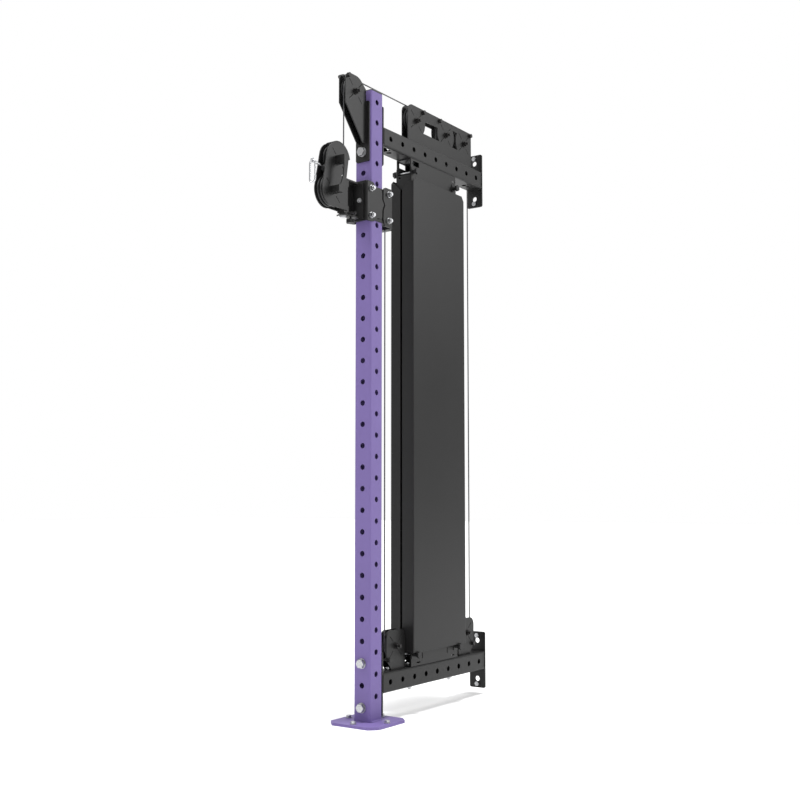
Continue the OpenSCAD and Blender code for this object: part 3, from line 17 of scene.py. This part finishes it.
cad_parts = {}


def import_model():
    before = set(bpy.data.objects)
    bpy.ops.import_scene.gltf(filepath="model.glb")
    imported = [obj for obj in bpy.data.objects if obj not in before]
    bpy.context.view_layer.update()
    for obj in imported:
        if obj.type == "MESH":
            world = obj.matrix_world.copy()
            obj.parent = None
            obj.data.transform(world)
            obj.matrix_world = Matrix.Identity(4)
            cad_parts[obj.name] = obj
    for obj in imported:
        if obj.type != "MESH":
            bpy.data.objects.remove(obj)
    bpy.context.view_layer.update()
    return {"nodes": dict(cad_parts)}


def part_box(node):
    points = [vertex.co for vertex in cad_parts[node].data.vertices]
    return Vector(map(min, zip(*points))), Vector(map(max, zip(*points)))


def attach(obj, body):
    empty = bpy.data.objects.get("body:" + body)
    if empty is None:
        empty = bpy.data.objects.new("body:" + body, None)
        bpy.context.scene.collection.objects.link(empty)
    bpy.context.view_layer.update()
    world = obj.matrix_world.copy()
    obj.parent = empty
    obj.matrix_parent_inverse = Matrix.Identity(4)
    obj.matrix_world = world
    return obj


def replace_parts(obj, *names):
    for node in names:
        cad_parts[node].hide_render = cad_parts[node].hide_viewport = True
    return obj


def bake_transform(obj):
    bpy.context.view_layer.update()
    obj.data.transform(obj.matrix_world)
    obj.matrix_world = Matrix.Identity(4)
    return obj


LOG = logging.getLogger("wall_pulley_station")
MM = 0.001
SMOOTH_BELOW = math.radians(35)
MERGE_WITHIN = 0.01 * MM

Colour = tuple[float, float, float]
Point = tuple[float, float, float]
Number = Union[int, float]


class Axis(Enum):
    """Direction of a straight feature in the row frame."""

    X = (1.0, 0.0, 0.0)
    Y = (0.0, 1.0, 0.0)
    Z = (0.0, 0.0, 1.0)


def srgb(red: int, green: int, blue: int) -> Colour:
    """Turn a display colour into the linear colour that shaders use.

    Args:
        red: Red from 0 to 255.
        green: Green from 0 to 255.
        blue: Blue from 0 to 255.

    Returns:
        The linear colour.
    """

    def linear(value: int) -> float:
        """Linear value of one channel."""
        share = value / 255
        return share / 12.92 if share <= 0.04045 else ((share + 0.055) / 1.055) ** 2.4

    return linear(red), linear(green), linear(blue)


# Shader maths


class Value:
    """A shader socket that takes part in Python arithmetic."""

    def __init__(self, graph: "Graph", socket: bpy.types.NodeSocket) -> None:
        """Keep the graph and the socket.

        Args:
            graph: The graph that new nodes are added to.
            socket: The output socket that holds the value.
        """
        self.graph = graph
        self.socket = socket

    def _math(self, operation: str, first: "Operand", second: "Operand" = 0.0) -> "Value":
        """Add one Math node."""
        return self.graph.add("ShaderNodeMath", {"operation": operation}, {0: first, 1: second})

    def __add__(self, other: "Operand") -> "Value":
        """self + other."""
        return self._math("ADD", self, other)

    def __radd__(self, other: "Operand") -> "Value":
        """other + self."""
        return self._math("ADD", other, self)

    def __sub__(self, other: "Operand") -> "Value":
        """self - other."""
        return self._math("SUBTRACT", self, other)

    def __rsub__(self, other: "Operand") -> "Value":
        """other - self."""
        return self._math("SUBTRACT", other, self)

    def __mul__(self, other: "Operand") -> "Value":
        """self * other."""
        return self._math("MULTIPLY", self, other)

    def __rmul__(self, other: "Operand") -> "Value":
        """other * self."""
        return self._math("MULTIPLY", other, self)

    def clamped(self, low: float, high: float) -> "Value":
        """This value held between low and high."""
        return self._math("MINIMUM", self._math("MAXIMUM", self, low), high)

    def ramp(self, low: float, high: float) -> "Value":
        """Zero at low and one at high, and held beyond them."""
        return ((self - low) * (1 / (high - low))).clamped(0.0, 1.0)


Operand = Union[Value, Number]


class Graph:
    """The node tree of one material or of the surroundings."""

    def __init__(self, owner: Union[bpy.types.Material, bpy.types.World]) -> None:
        """Empty the owner's tree.

        Args:
            owner: The material or world that the tree belongs to.
        """
        self.owner = owner
        self.owner.use_nodes = True
        self.tree = self.owner.node_tree
        self.tree.nodes.clear()
        self._place: dict[str, Value] = {}

    @classmethod
    def of_material(cls, name: str) -> "Graph":
        """A graph on a new material of that name."""
        return cls(bpy.data.materials.new(name))

    def add(
        self,
        kind: str,
        settings: Mapping[str, object] | None = None,
        sockets: Mapping[int | str, object] | None = None,
        output: int | str = 0,
    ) -> Value:
        """Add a node, set it up and link it.

        Args:
            kind: The node's type.
            settings: Properties that are set before the sockets.
            sockets: Input sockets by index or name, each with a value or a link.
            output: The output socket to return.

        Returns:
            The chosen output.
        """
        node = self.tree.nodes.new(kind)
        for key, setting in (settings or {}).items():
            setattr(node, key, setting)
        for key, given in (sockets or {}).items():
            if isinstance(given, Value):
                self.tree.links.new(given.socket, node.inputs[key])
            else:
                node.inputs[key].default_value = given
        return Value(self, node.outputs[output]) if node.outputs else Value(self, None)

    def place(self) -> Value:
        """Object coordinates, shared by every texture of the material."""
        if "object" not in self._place:
            self._place["object"] = self.add("ShaderNodeTexCoord", output="Object")
        return self._place["object"]

    def stretched(self, scale: Point) -> Value:
        """Object coordinates multiplied by a scale for each axis."""
        return self.add("ShaderNodeMapping", None, {"Vector": self.place(), "Scale": scale})

    def noise(self, scale: float, detail: float = 2.0, vector: Value | None = None) -> Value:
        """Noise between zero and one.

        Args:
            scale: Features for each metre.
            detail: Octaves of finer noise.
            vector: Coordinates to use in place of plain object coordinates.

        Returns:
            The noise value.
        """
        return self.add(
            "ShaderNodeTexNoise",
            None,
            {"Vector": vector or self.place(), "Scale": scale, "Detail": detail},
        )

    def mixed(self, factor: Operand, first: object, second: object) -> Value:
        """Colour between first and second.

        Args:
            factor: Share of the second colour.
            first: A linear colour or a link.
            second: A linear colour or a link.

        Returns:
            The mixed colour.
        """

        def socket(value: object) -> object:
            """Colour with its alpha, or the link itself."""
            return value if isinstance(value, Value) else (*value, 1.0)

        return self.add(
            "ShaderNodeMix",
            {"data_type": "RGBA"},
            {0: factor, 6: socket(first), 7: socket(second)},
            output=2,
        )

    def dot(self, first: object, second: object) -> Value:
        """Dot product of two vectors."""
        return self.add(
            "ShaderNodeVectorMath", {"operation": "DOT_PRODUCT"}, {0: first, 1: second}, "Value"
        )

    def edge_mask(self, radius: float) -> Value:
        """One on sharp edges within a radius, and zero on flat faces.

        Args:
            radius: Width of the edge band in metres.

        Returns:
            The mask.
        """
        rounded = self.add("ShaderNodeBevel", {"samples": 4}, {"Radius": radius})
        plain = self.add("ShaderNodeNewGeometry", output="Normal")
        return (1.0 - self.dot(rounded, plain)).ramp(0.0, 0.25)

    def finish(
        self,
        colour: object,
        roughness: Operand,
        metallic: float,
        height: Operand | None = None,
        depth: float = 0.0,
        edge: float = 0.0,
        coat: float = 0.0,
        specular: float = 0.5,
    ) -> bpy.types.Material:
        """Close the tree with the surface shader.

        Args:
            colour: Base colour, linear or linked.
            roughness: Roughness, plain or linked.
            metallic: Share of metal.
            height: Height pattern of the bump, if any.
            depth: Depth of the bump in metres.
            edge: Radius of the softened edges in metres.
            coat: Weight of a clear coat.
            specular: Strength of the dielectric reflection.

        Returns:
            The finished material.
        """
        sockets: dict[int | str, object] = {
            "Base Color": colour if isinstance(colour, Value) else (*colour, 1.0),
            "Roughness": roughness,
            "Metallic": metallic,
            "Coat Weight": coat,
            "Specular IOR Level": specular,
        }
        normal = self.add("ShaderNodeBevel", {"samples": 4}, {"Radius": edge}) if edge else None
        if height is not None:
            bump: dict[int | str, object] = {"Height": height, "Distance": depth, "Strength": 1.0}
            if normal is not None:
                bump["Normal"] = normal
            normal = self.add("ShaderNodeBump", None, bump)
        if normal is not None:
            sockets["Normal"] = normal
        shader = self.add("ShaderNodeBsdfPrincipled", None, sockets)
        self.add("ShaderNodeOutputMaterial", None, {"Surface": shader})
        return self.owner


# Finishes


@dataclass(frozen=True)
class PowderCoat:
    """Baked powder paint on steel, with a fine orange peel and a painted highlight along the edges.
    """

    name: str
    colour: Colour
    # Lighter colour of the painted highlight along the edges.
    highlight_colour: Colour
    roughness: float = 0.42
    grain: float = 1400.0
    depth: float = 0.00004
    drift: float = 0.06
    specular: float = 0.5
    edge: float = 0.0012
    clouds: float = 3.0
    speckle: float = 0.25
    # Strength of the painted edge highlight.
    edge_highlight: float = 0.55

    def material(self) -> bpy.types.Material:
        """Build the material."""
        g = Graph.of_material(self.name)
        cloud = g.noise(self.clouds, 3.0)
        fine = g.noise(self.grain, 2.0)
        shade = tuple(channel * (1 - self.drift) for channel in self.colour)
        light = tuple(min(1.0, channel * (1 + self.drift)) for channel in self.colour)
        base = g.mixed(cloud.ramp(0.3, 0.7), shade, light)
        speckled = g.mixed((fine * self.speckle).clamped(0.0, 1.0), base, light)
        # Painted highlight: the edges are mixed towards the lighter colour, standing in for light
        # caught by rounded edges.
        highlighted = g.mixed(g.edge_mask(self.edge) * self.edge_highlight, speckled, self.highlight_colour)
        rough = self.roughness + (cloud - 0.5) * 0.08 + (fine - 0.5) * 0.12
        return g.finish(highlighted, rough, 0.0, fine, self.depth, self.edge, specular=self.specular)


@dataclass(frozen=True)
class Plating:
    """Bright or dark plating on a machined fastener, with fine turning marks and dull spots."""

    name: str
    colour: Colour
    dull: Colour
    roughness: float = 0.28
    metallic: float = 1.0
    edge: float = 0.0006
    spot_grain: float = 220.0
    turning_grain: float = 2600.0
    turning_depth: float = 0.00002

    def material(self) -> bpy.types.Material:
        """Build the material."""
        g = Graph.of_material(self.name)
        spots = g.noise(self.spot_grain, 3.0)
        marks = g.noise(self.turning_grain, 1.0, g.stretched((1.0, 0.25, 1.0)))
        colour = g.mixed(spots.ramp(0.42, 0.75) * 0.6, self.colour, self.dull)
        rough = self.roughness + spots.ramp(0.4, 0.8) * 0.18
        return g.finish(colour, rough, self.metallic, marks, self.turning_depth, self.edge)


@dataclass(frozen=True)
class Chrome:
    """Polished and hard-chromed rod with faint running marks along its length."""

    name: str
    colour: Colour
    along: Axis
    roughness: float = 0.12
    grain: float = 1800.0
    drawn_out: float = 0.03
    depth: float = 0.000004
    edge: float = 0.0005

    def material(self) -> bpy.types.Material:
        """Build the material."""
        g = Graph.of_material(self.name)
        scale = tuple(self.drawn_out if part else 1.0 for part in self.along.value)
        streaks = g.noise(self.grain, 2.0, g.stretched(scale))
        smear = g.noise(9.0, 3.0)
        dull = tuple(channel * 0.8 for channel in self.colour)
        colour = g.mixed(smear.ramp(0.5, 0.8) * 0.4, self.colour, dull)
        rough = self.roughness + streaks * 0.08
        return g.finish(colour, rough, 1.0, streaks, self.depth, self.edge)


@dataclass(frozen=True)
class Moulded:
    """Moulded nylon or rubber with a spark-eroded grain and a painted highlight along the edges."""

    name: str
    colour: Colour
    roughness: float = 0.5
    grain: float = 1600.0
    depth: float = 0.00005
    specular: float = 0.4
    edge: float = 0.0008

    def material(self) -> bpy.types.Material:
        """Build the material."""
        g = Graph.of_material(self.name)
        grain = g.add(
            "ShaderNodeTexVoronoi",
            {"feature": "F1"},
            {"Vector": g.place(), "Scale": self.grain},
            "Distance",
        )
        flow = g.noise(14.0, 2.0)
        light = tuple(channel * 1.5 + 0.004 for channel in self.colour)
        # Painted highlight: the edges are mixed towards the lighter colour; the flow noise is a
        # real random tone.
        edge_highlighted = g.mixed(g.edge_mask(self.edge) * 0.5, g.mixed(flow * 0.5, self.colour, light), light)
        rough = self.roughness + (flow - 0.5) * 0.12
        return g.finish(edge_highlighted, rough, 0.0, grain, self.depth, self.edge, specular=self.specular)


@dataclass(frozen=True)
class CastIron:
    """Painted cast iron with a sandy skin and bare chips along the edges."""

    name: str
    colour: Colour
    bare: Colour
    roughness: float = 0.55
    sand_grain: float = 700.0
    chip_grain: float = 160.0
    chip_reach: float = 0.002
    depth: float = 0.00012
    edge: float = 0.0012

    def material(self) -> bpy.types.Material:
        """Build the material."""
        g = Graph.of_material(self.name)
        sand = g.noise(self.sand_grain, 4.0)
        chips = g.noise(self.chip_grain, 4.0)
        mask = (g.edge_mask(self.chip_reach) * chips.ramp(0.5, 0.62)).clamped(0.0, 1.0)
        light = tuple(channel * 1.6 for channel in self.colour)
        tone = g.mixed(g.noise(12.0, 3.0) * 0.5, self.colour, light)
        colour = g.mixed(mask, tone, self.bare)
        rough = self.roughness + (sand - 0.5) * 0.2
        return g.finish(colour, rough, 0.0, sand, self.depth, self.edge)


@dataclass(frozen=True)
class CableSheath:
    """Clear-black sheath over a laid steel rope, whose strands press through as a faint helix."""

    name: str
    colour: Colour
    strand: Colour
    lay: float = 900.0
    roughness: float = 0.32
    depth: float = 0.00015
    coat: float = 0.3

    def material(self) -> bpy.types.Material:
        """Build the material."""
        g = Graph.of_material(self.name)
        bands = g.add(
            "ShaderNodeTexWave",
            {"bands_direction": "DIAGONAL"},
            {"Vector": g.place(), "Scale": self.lay / 10, "Distortion": 0.3},
            "Fac",
        )
        dirt = g.noise(60.0, 3.0)
        colour = g.mixed(bands * 0.35 + dirt * 0.2, self.colour, self.strand)
        rough = self.roughness + dirt * 0.15
        return g.finish(colour, rough, 0.0, bands, self.depth, coat=self.coat)


@dataclass(frozen=True)
class StudioFloor:
    """Pale seamless studio floor."""

    name: str
    colour: Colour

    def material(self) -> bpy.types.Material:
        """Build the material."""
        g = Graph.of_material(self.name)
        cloud = g.noise(0.6, 2.0)
        shade = tuple(channel * 0.99 for channel in self.colour)
        return g.finish(g.mixed(cloud, self.colour, shade), 0.9, 0.0, specular=0.1)


class Finish(Enum):
    """Every finish on the station."""

    # The second colour of each powder coat is its painted edge highlight.
    PURPLE = PowderCoat(
        "purple_powder_coat", srgb(116, 100, 156), srgb(139, 125, 178), roughness=0.55, specular=0.3
    )
    BLACK = PowderCoat(
        "black_powder_coat",
        srgb(29, 29, 29),
        srgb(58, 58, 58),
        roughness=0.4,
        specular=0.3,
        drift=0.1,
    )
    ZINC = Plating("bright_zinc", srgb(190, 191, 193), srgb(140, 141, 142))
    DARK_ZINC = Plating(
        "black_zinc", srgb(38, 37, 37), srgb(20, 20, 20), roughness=0.4, metallic=0.4
    )
    CHROME_ROD = Chrome("chromed_rod", srgb(214, 216, 219), Axis.Z)
    CHROME_HOOK = Chrome("polished_hook", srgb(208, 209, 211), Axis.X, roughness=0.2)
    NYLON = Moulded("black_nylon", srgb(22, 22, 23))
    RUBBER = Moulded("black_rubber", srgb(17, 17, 17), roughness=0.68, grain=1100.0, specular=0.25)
    IRON = CastIron("cast_iron_plates", srgb(26, 26, 27), srgb(120, 118, 114))
    SHEATH = CableSheath("cable_sheath", srgb(38, 38, 40), srgb(96, 96, 98))


class Wardrobe:
    """Builds each finish once and puts it on pieces."""

    def __init__(self) -> None:
        """Start with no finish built."""
        self._built: dict[Finish, bpy.types.Material] = {}

    def material(self, finish: Finish) -> bpy.types.Material:
        """The material of a finish, built on first use."""
        if finish not in self._built:
            self._built[finish] = finish.value.material()
        return self._built[finish]

    def dress(self, piece: bpy.types.Object, finish: Finish) -> None:
        """Give a whole piece one finish.

        Args:
            piece: The object to dress.
            finish: The finish it gets.
        """
        slots = piece.data.materials
        if not slots:
            slots.append(self.material(finish))
        for index in range(len(slots)):
            slots[index] = self.material(finish)


# Modelling helpers


class Bench:
    """Common steps of modelling a piece with operators."""

    @staticmethod
    def clear() -> None:
        """Leave edit mode and deselect everything."""
        if bpy.context.object is not None and bpy.context.object.mode != "OBJECT":
            bpy.ops.object.mode_set(mode="OBJECT")
        bpy.ops.object.select_all(action="DESELECT")

    @staticmethod
    def named(name: str) -> bpy.types.Object:
        """Name the active object and its mesh."""
        piece = bpy.context.object
        piece.name = name
        piece.data.name = name
        return piece

    @staticmethod
    def settle(piece: bpy.types.Object) -> None:
        """Put the piece's place into its mesh and its faces outwards.

        Args:
            piece: The finished mesh object.
        """
        Bench.clear()
        piece.select_set(True)
        bpy.context.view_layer.objects.active = piece
        bpy.ops.object.transform_apply(location=True, rotation=True, scale=True)
        bpy.ops.object.mode_set(mode="EDIT")
        bpy.ops.mesh.select_all(action="SELECT")
        bpy.ops.mesh.remove_doubles(threshold=MERGE_WITHIN)
        bpy.ops.mesh.normals_make_consistent(inside=False)
        bpy.ops.object.mode_set(mode="OBJECT")
        bpy.ops.object.shade_smooth_by_angle(angle=SMOOTH_BELOW)


# Sub-assemblies


@dataclass
class SubAssembly:
    """A group of CAD nodes with their finishes, and the pieces added to them."""

    wardrobe: Wardrobe
    finishes: dict[Finish, Sequence[str]] = field(default_factory=dict)

    def dress_nodes(self, nodes: Mapping[str, bpy.types.Object]) -> None:
        """Put the finishes on the CAD nodes.

        Args:
            nodes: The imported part's nodes by name.
        """
        for finish, names in self.finishes.items():
            for name in names:
                self.wardrobe.dress(nodes[name], finish)
                LOG.info("%s dressed in %s", name, finish.value.name)

    def add(self, piece: bpy.types.Object, finish: Finish, body: str, slot: str) -> None:
        """Dress a new piece and hang it on its body.

        Args:
            piece: The new object.
            finish: Its finish.
            body: The CAD body that it moves with.
            slot: Not used.
        """
        self.wardrobe.dress(piece, finish)
        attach(piece, body)
        LOG.info("%s rides on %s", piece.name, body)


@dataclass
class WeldedFrame(SubAssembly):
    """Upright, foot plate and crossmembers, with the weld beads round their tubes."""

    tube_w: float = 75 * MM
    corner: float = 7 * MM
    leg: float = 5 * MM
    flange_t: float = 6 * MM
    bead_sides: int = 10
    corner_steps: int = 6

    def bead(self, name: str, place: Matrix) -> bpy.types.Object:
        """Weld bead round a square tube where it meets a plate.

        Args:
            name: The piece's name.
            place: Transform from the tube's own axis, with the plate at z 0, to the row frame.

        Returns:
            The weld bead.
        """
        half = self.tube_w / 2
        straight = self.tube_w - 2 * self.corner
        Bench.clear()
        bpy.ops.mesh.primitive_circle_add(
            vertices=self.bead_sides,
            radius=self.leg * 0.6,
            location=(half, -straight / 2, self.leg * 0.25),
            rotation=(math.pi / 2, 0, 0),
        )
        piece = Bench.named(name)
        bpy.ops.object.transform_apply(location=True, rotation=True, scale=True)
        bpy.ops.object.mode_set(mode="EDIT")
        bpy.ops.mesh.select_all(action="SELECT")
        for side in range(4):
            turn = Matrix.Rotation(math.radians(90 * side), 3, "Z")
            run = turn @ Vector((0, straight, 0))
            centre = turn @ Vector((half - self.corner, half - self.corner, 0))
            bpy.ops.mesh.extrude_region_move(TRANSFORM_OT_translate={"value": run})
            bpy.ops.mesh.spin(
                steps=self.corner_steps, angle=math.pi / 2, center=centre, axis=(0, 0, 1)
            )
        bpy.ops.object.mode_set(mode="OBJECT")
        piece.data.transform(place)
        Bench.settle(piece)
        return piece

    def build(self) -> None:
        """Add the weld beads of the foot and of both crossmembers."""
        foot_low, foot_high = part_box("foot_plate")
        foot = self.bead("foot_weld", Matrix.Translation((0, 0, foot_high.z)))
        self.add(foot, Finish.PURPLE, "frame", "purple_paint")
        for level, node in (("lower", "lower_crossmember"), ("upper", "upper_crossmember")):
            low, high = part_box(node)
            middle = (low.z + high.z) / 2
            for end, face, turn in (
                ("front", low.y + self.flange_t, -90),
                ("rear", high.y - self.flange_t, 90),
            ):
                facing = Matrix.Rotation(math.radians(turn), 4, "X")
                place = Matrix.Translation((0, face, middle)) @ facing
                bead = self.bead(f"{level}_{end}_weld", place)
                self.add(bead, Finish.BLACK, "frame", "black_paint")


@dataclass
class RunningCable(SubAssembly):
    """Straight cable lengths between the parts at their ends."""

    radius: float = 2.5 * MM
    sides: int = 20

    def span(
        self, name: str, start: Vector, end: Vector, bodies: tuple[str, str]
    ) -> bpy.types.Object:
        """Model one straight length, with no ring between its ends.

        Args:
            name: The new object's name.
            start: Middle of the first end.
            end: Middle of the second end.
            bodies: The two bodies at its ends, named in the log.

        Returns:
            The new object.
        """
        along = end - start
        Bench.clear()
        bpy.ops.mesh.primitive_cylinder_add(
            vertices=self.sides, radius=self.radius, depth=along.length
        )
        piece = Bench.named(name)
        turn = along.to_track_quat("Z", "Y").to_matrix().to_4x4()
        piece.data.transform(Matrix.Translation((start + end) / 2) @ turn)
        Bench.settle(piece)
        self.wardrobe.dress(piece, Finish.SHEATH)
        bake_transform(piece)
        LOG.info("%s stretches between %s and %s", name, bodies[0], bodies[1])
        return piece


@dataclass
class UprightLengths(RunningCable):
    """The upright lengths to the trolley and the weight stack, each from a fixed wheel."""

    def build(self) -> None:
        """Stand a new length in for each straight length of the CAD model."""
        for node, body, fixed_above in (
            ("cable_front_drop", "trolley", True),
            ("cable_trolley_rise", "trolley", False),
            ("cable_stack_falls", "weight_stack", True),
        ):
            low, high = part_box(node)
            middle = (low.x + high.x) / 2
            fixed, moving = (high.z, low.z) if fixed_above else (low.z, high.z)
            if high.y - low.y > 4 * self.radius:
                places = (low.y + self.radius, high.y - self.radius)
            else:
                places = ((low.y + high.y) / 2,)
            for index, place in enumerate(places):
                name = f"{node}_length_{index}"
                start, end = Vector((middle, place, fixed)), Vector((middle, place, moving))
                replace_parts(self.span(name, start, end, ("frame", body)), node)


@dataclass
class PullCable(RunningCable):
    """The cable between housing and stop ball."""

    radius: float = 2.4 * MM
    slope: float = math.radians(11.5)
    groove: float = 52.5 * MM
    bare: float = 30 * MM
    hidden: float = 42 * MM

    def build(self) -> None:
        """Hide the length inside the stop ball."""
        low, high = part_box("swivel_upper_wheel")
        along = Vector((0, -math.cos(self.slope), math.sin(self.slope)))
        across = Vector((0, -math.sin(self.slope), -math.cos(self.slope)))
        leave = (low + high) / 2 + self.groove * across
        start, end = leave + along * self.bare, leave + along * self.hidden
        self.span("pull_cable", start, end, ("housing", "cable_end"))


@dataclass(frozen=True)
class SoftBox:
    """One square soft light.

    Attributes:
        name: The light's name.
        place: Where it hangs.
        target: The point that it faces.
        size: Side of the square in metres.
        power: Power in watts.
    """

    name: str
    place: Point
    target: Point
    size: float
    power: float

    def hang(self) -> None:
        """Put the light into the scene."""
        data = bpy.data.lights.new(self.name, "AREA")
        data.shape = "SQUARE"
        data.size = self.size
        data.energy = self.power
        lamp = bpy.data.objects.new(self.name, data)
        lamp.location = self.place
        lamp.rotation_mode = "QUATERNION"
        aim = Vector(self.target) - Vector(self.place)
        lamp.rotation_quaternion = aim.to_track_quat("-Z", "Y")
        bpy.context.collection.objects.link(lamp)


@dataclass
class Studio:
    """Pale floor, soft lights and the camera."""

    camera_place: Point = (2.4980, -3.3518, 0.8263)
    camera_pitch: float = 95.025
    camera_turn: float = 35.072
    lens: float = 50.0
    floor_size: float = 60.0
    sensor: float = 36.0
    sky_low: float = 0.4
    sky_high: float = 0.95
    top_light: float = 1.7
    top_spread: float = math.radians(8)
    top_tilt: float = math.radians(4)
    backdrop_height: float = 0.09
    backdrop_edge: tuple[float, float] = (0.80, 0.88)
    view_depth: float = 200.0
    soft_boxes: tuple[SoftBox, ...] = (
        SoftBox("back_right_softbox", (4.5, 3.5, 4.0), (0.0, 0.4, 1.6), 3.0, 115.0),
        SoftBox("overhead_softbox", (-1.5, -1.5, 5.0), (0.0, 0.3, 0.5), 2.5, 70.0),
    )

    def camera(self) -> None:
        """Put the camera at the photograph's viewing angle."""
        data = bpy.data.cameras.new("studio_camera")
        data.lens = self.lens
        data.sensor_width = self.sensor
        data.clip_end = self.view_depth
        camera = bpy.data.objects.new("studio_camera", data)
        camera.location = self.camera_place
        camera.rotation_euler = (math.radians(self.camera_pitch), 0, math.radians(self.camera_turn))
        bpy.context.collection.objects.link(camera)
        bpy.context.scene.camera = camera

    def floor(self) -> None:
        """Lay the floor."""
        Bench.clear()
        bpy.ops.mesh.primitive_plane_add(size=self.floor_size)
        floor = Bench.named("studio_floor")
        floor.data.materials.append(StudioFloor("studio_floor", srgb(255, 255, 255)).material())

    def sky(self) -> None:
        """Surround the station with soft light, over a white backdrop behind it."""
        world = bpy.data.worlds.new("studio_world")
        g = Graph(world)
        turn = math.radians(self.camera_turn)
        behind = (-math.sin(turn), math.cos(turn), self.backdrop_height)
        direction = g.add("ShaderNodeTexCoord", output="Generated")
        facing = g.dot(direction, behind)
        height = g.add("ShaderNodeSeparateXYZ", None, {0: direction}, 2)
        soft = self.sky_low + height.ramp(0.0, 1.0) * (self.sky_high - self.sky_low)
        backdrop = facing.ramp(*self.backdrop_edge)
        light = soft * (1.0 - backdrop) + backdrop
        white = (1.0, 1.0, 1.0, 1.0)
        shader = g.add("ShaderNodeBackground", None, {"Color": white, "Strength": light})
        g.add("ShaderNodeOutputWorld", None, {"Surface": shader})
        bpy.context.scene.world = world

    def overhead(self) -> None:
        """Hang a wide and distant light straight above, which darkens the floor under the beams."""
        data = bpy.data.lights.new("overhead_light", "SUN")
        data.energy = self.top_light
        data.angle = self.top_spread
        lamp = bpy.data.objects.new("overhead_light", data)
        lamp.rotation_euler = (0.0, self.top_tilt, 0.0)
        bpy.context.collection.objects.link(lamp)

    def build(self) -> None:
        """Set up the whole studio."""
        self.camera()
        self.floor()
        self.sky()
        self.overhead()
        for soft_box in self.soft_boxes:
            soft_box.hang()
        bpy.context.scene.view_settings.view_transform = "Standard"


def main() -> None:
    """Build the dressed station and its studio."""
    logging.basicConfig(level=logging.INFO, format="%(name)s: %(message)s")
    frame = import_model()
    nodes = frame["nodes"]
    wardrobe = Wardrobe()
    welded = WeldedFrame(
        wardrobe,
        {
            Finish.PURPLE: ("upright", "foot_plate"),
            Finish.BLACK: ("lower_crossmember", "upper_crossmember"),
            Finish.NYLON: ("upright_cap",),
            Finish.ZINC: ("anchor_bolts", "frame_bolts"),
        },
    )
    pulleys = SubAssembly(
        wardrobe,
        {
            Finish.BLACK: (
                "top_front_bracket",
                "top_rear_bracket",
                "bottom_front_bracket",
                "bottom_rear_bracket",
            ),
            Finish.DARK_ZINC: ("pulley_bolts",),
            Finish.NYLON: (
                "top_front_wheel",
                "rear_wheel_a",
                "rear_wheel_b",
                "rear_wheel_c",
                "bottom_front_wheel",
                "bottom_rear_wheel",
            ),
            Finish.SHEATH: ("cable_top_run", "cable_rear_run"),
        },
    )
    lengths = UprightLengths(
        wardrobe, {Finish.SHEATH: ("cable_stack_falls", "cable_front_drop", "cable_trolley_rise")}
    )
    shroud = SubAssembly(
        wardrobe,
        {
            Finish.BLACK: (
                "shroud_left",
                "shroud_right",
                "shroud_top_bracket",
                "shroud_bottom_bracket",
            ),
            Finish.NYLON: ("shroud_knobs",),
            Finish.ZINC: ("shroud_studs",),
        },
    )
    stack = SubAssembly(
        wardrobe,
        {
            Finish.IRON: ("resting_plates", "lifted_plates", "head_plate"),
            Finish.CHROME_ROD: ("guide_rods", "selector_rod"),
            Finish.CHROME_HOOK: ("selector_pin",),
            Finish.RUBBER: ("stack_buffers",),
            Finish.BLACK: ("stack_yoke",),
            Finish.NYLON: ("stack_wheel",),
            Finish.SHEATH: ("cable_stack_loop",),
        },
    )
    trolley = SubAssembly(
        wardrobe,
        {
            Finish.BLACK: ("trolley_front_bracket", "trolley_rear_bracket", "pivot_bracket"),
            Finish.NYLON: ("trolley_slider", "lock_pin", "index_pin"),
            Finish.ZINC: ("trolley_bolts", "trolley_fittings"),
        },
    )
    housing = PullCable(
        wardrobe,
        {
            Finish.BLACK: ("swivel_left_plate", "swivel_right_plate", "swivel_handle"),
            Finish.ZINC: ("swivel_pivots", "cable_link"),
            Finish.DARK_ZINC: ("swivel_axles",),
            Finish.NYLON: ("swivel_guard", "swivel_upper_wheel", "swivel_lower_wheel"),
            Finish.SHEATH: ("cable_swivel_loop",),
            Finish.RUBBER: ("cable_end",),
            Finish.CHROME_HOOK: ("snap_hook", "snap_gate"),
        },
    )
    for assembly in (welded, pulleys, lengths, shroud, stack, trolley, housing):
        assembly.dress_nodes(nodes)
    welded.build()
    lengths.build()
    housing.build()
    Studio().build()


if __name__ == "__main__":
    main()
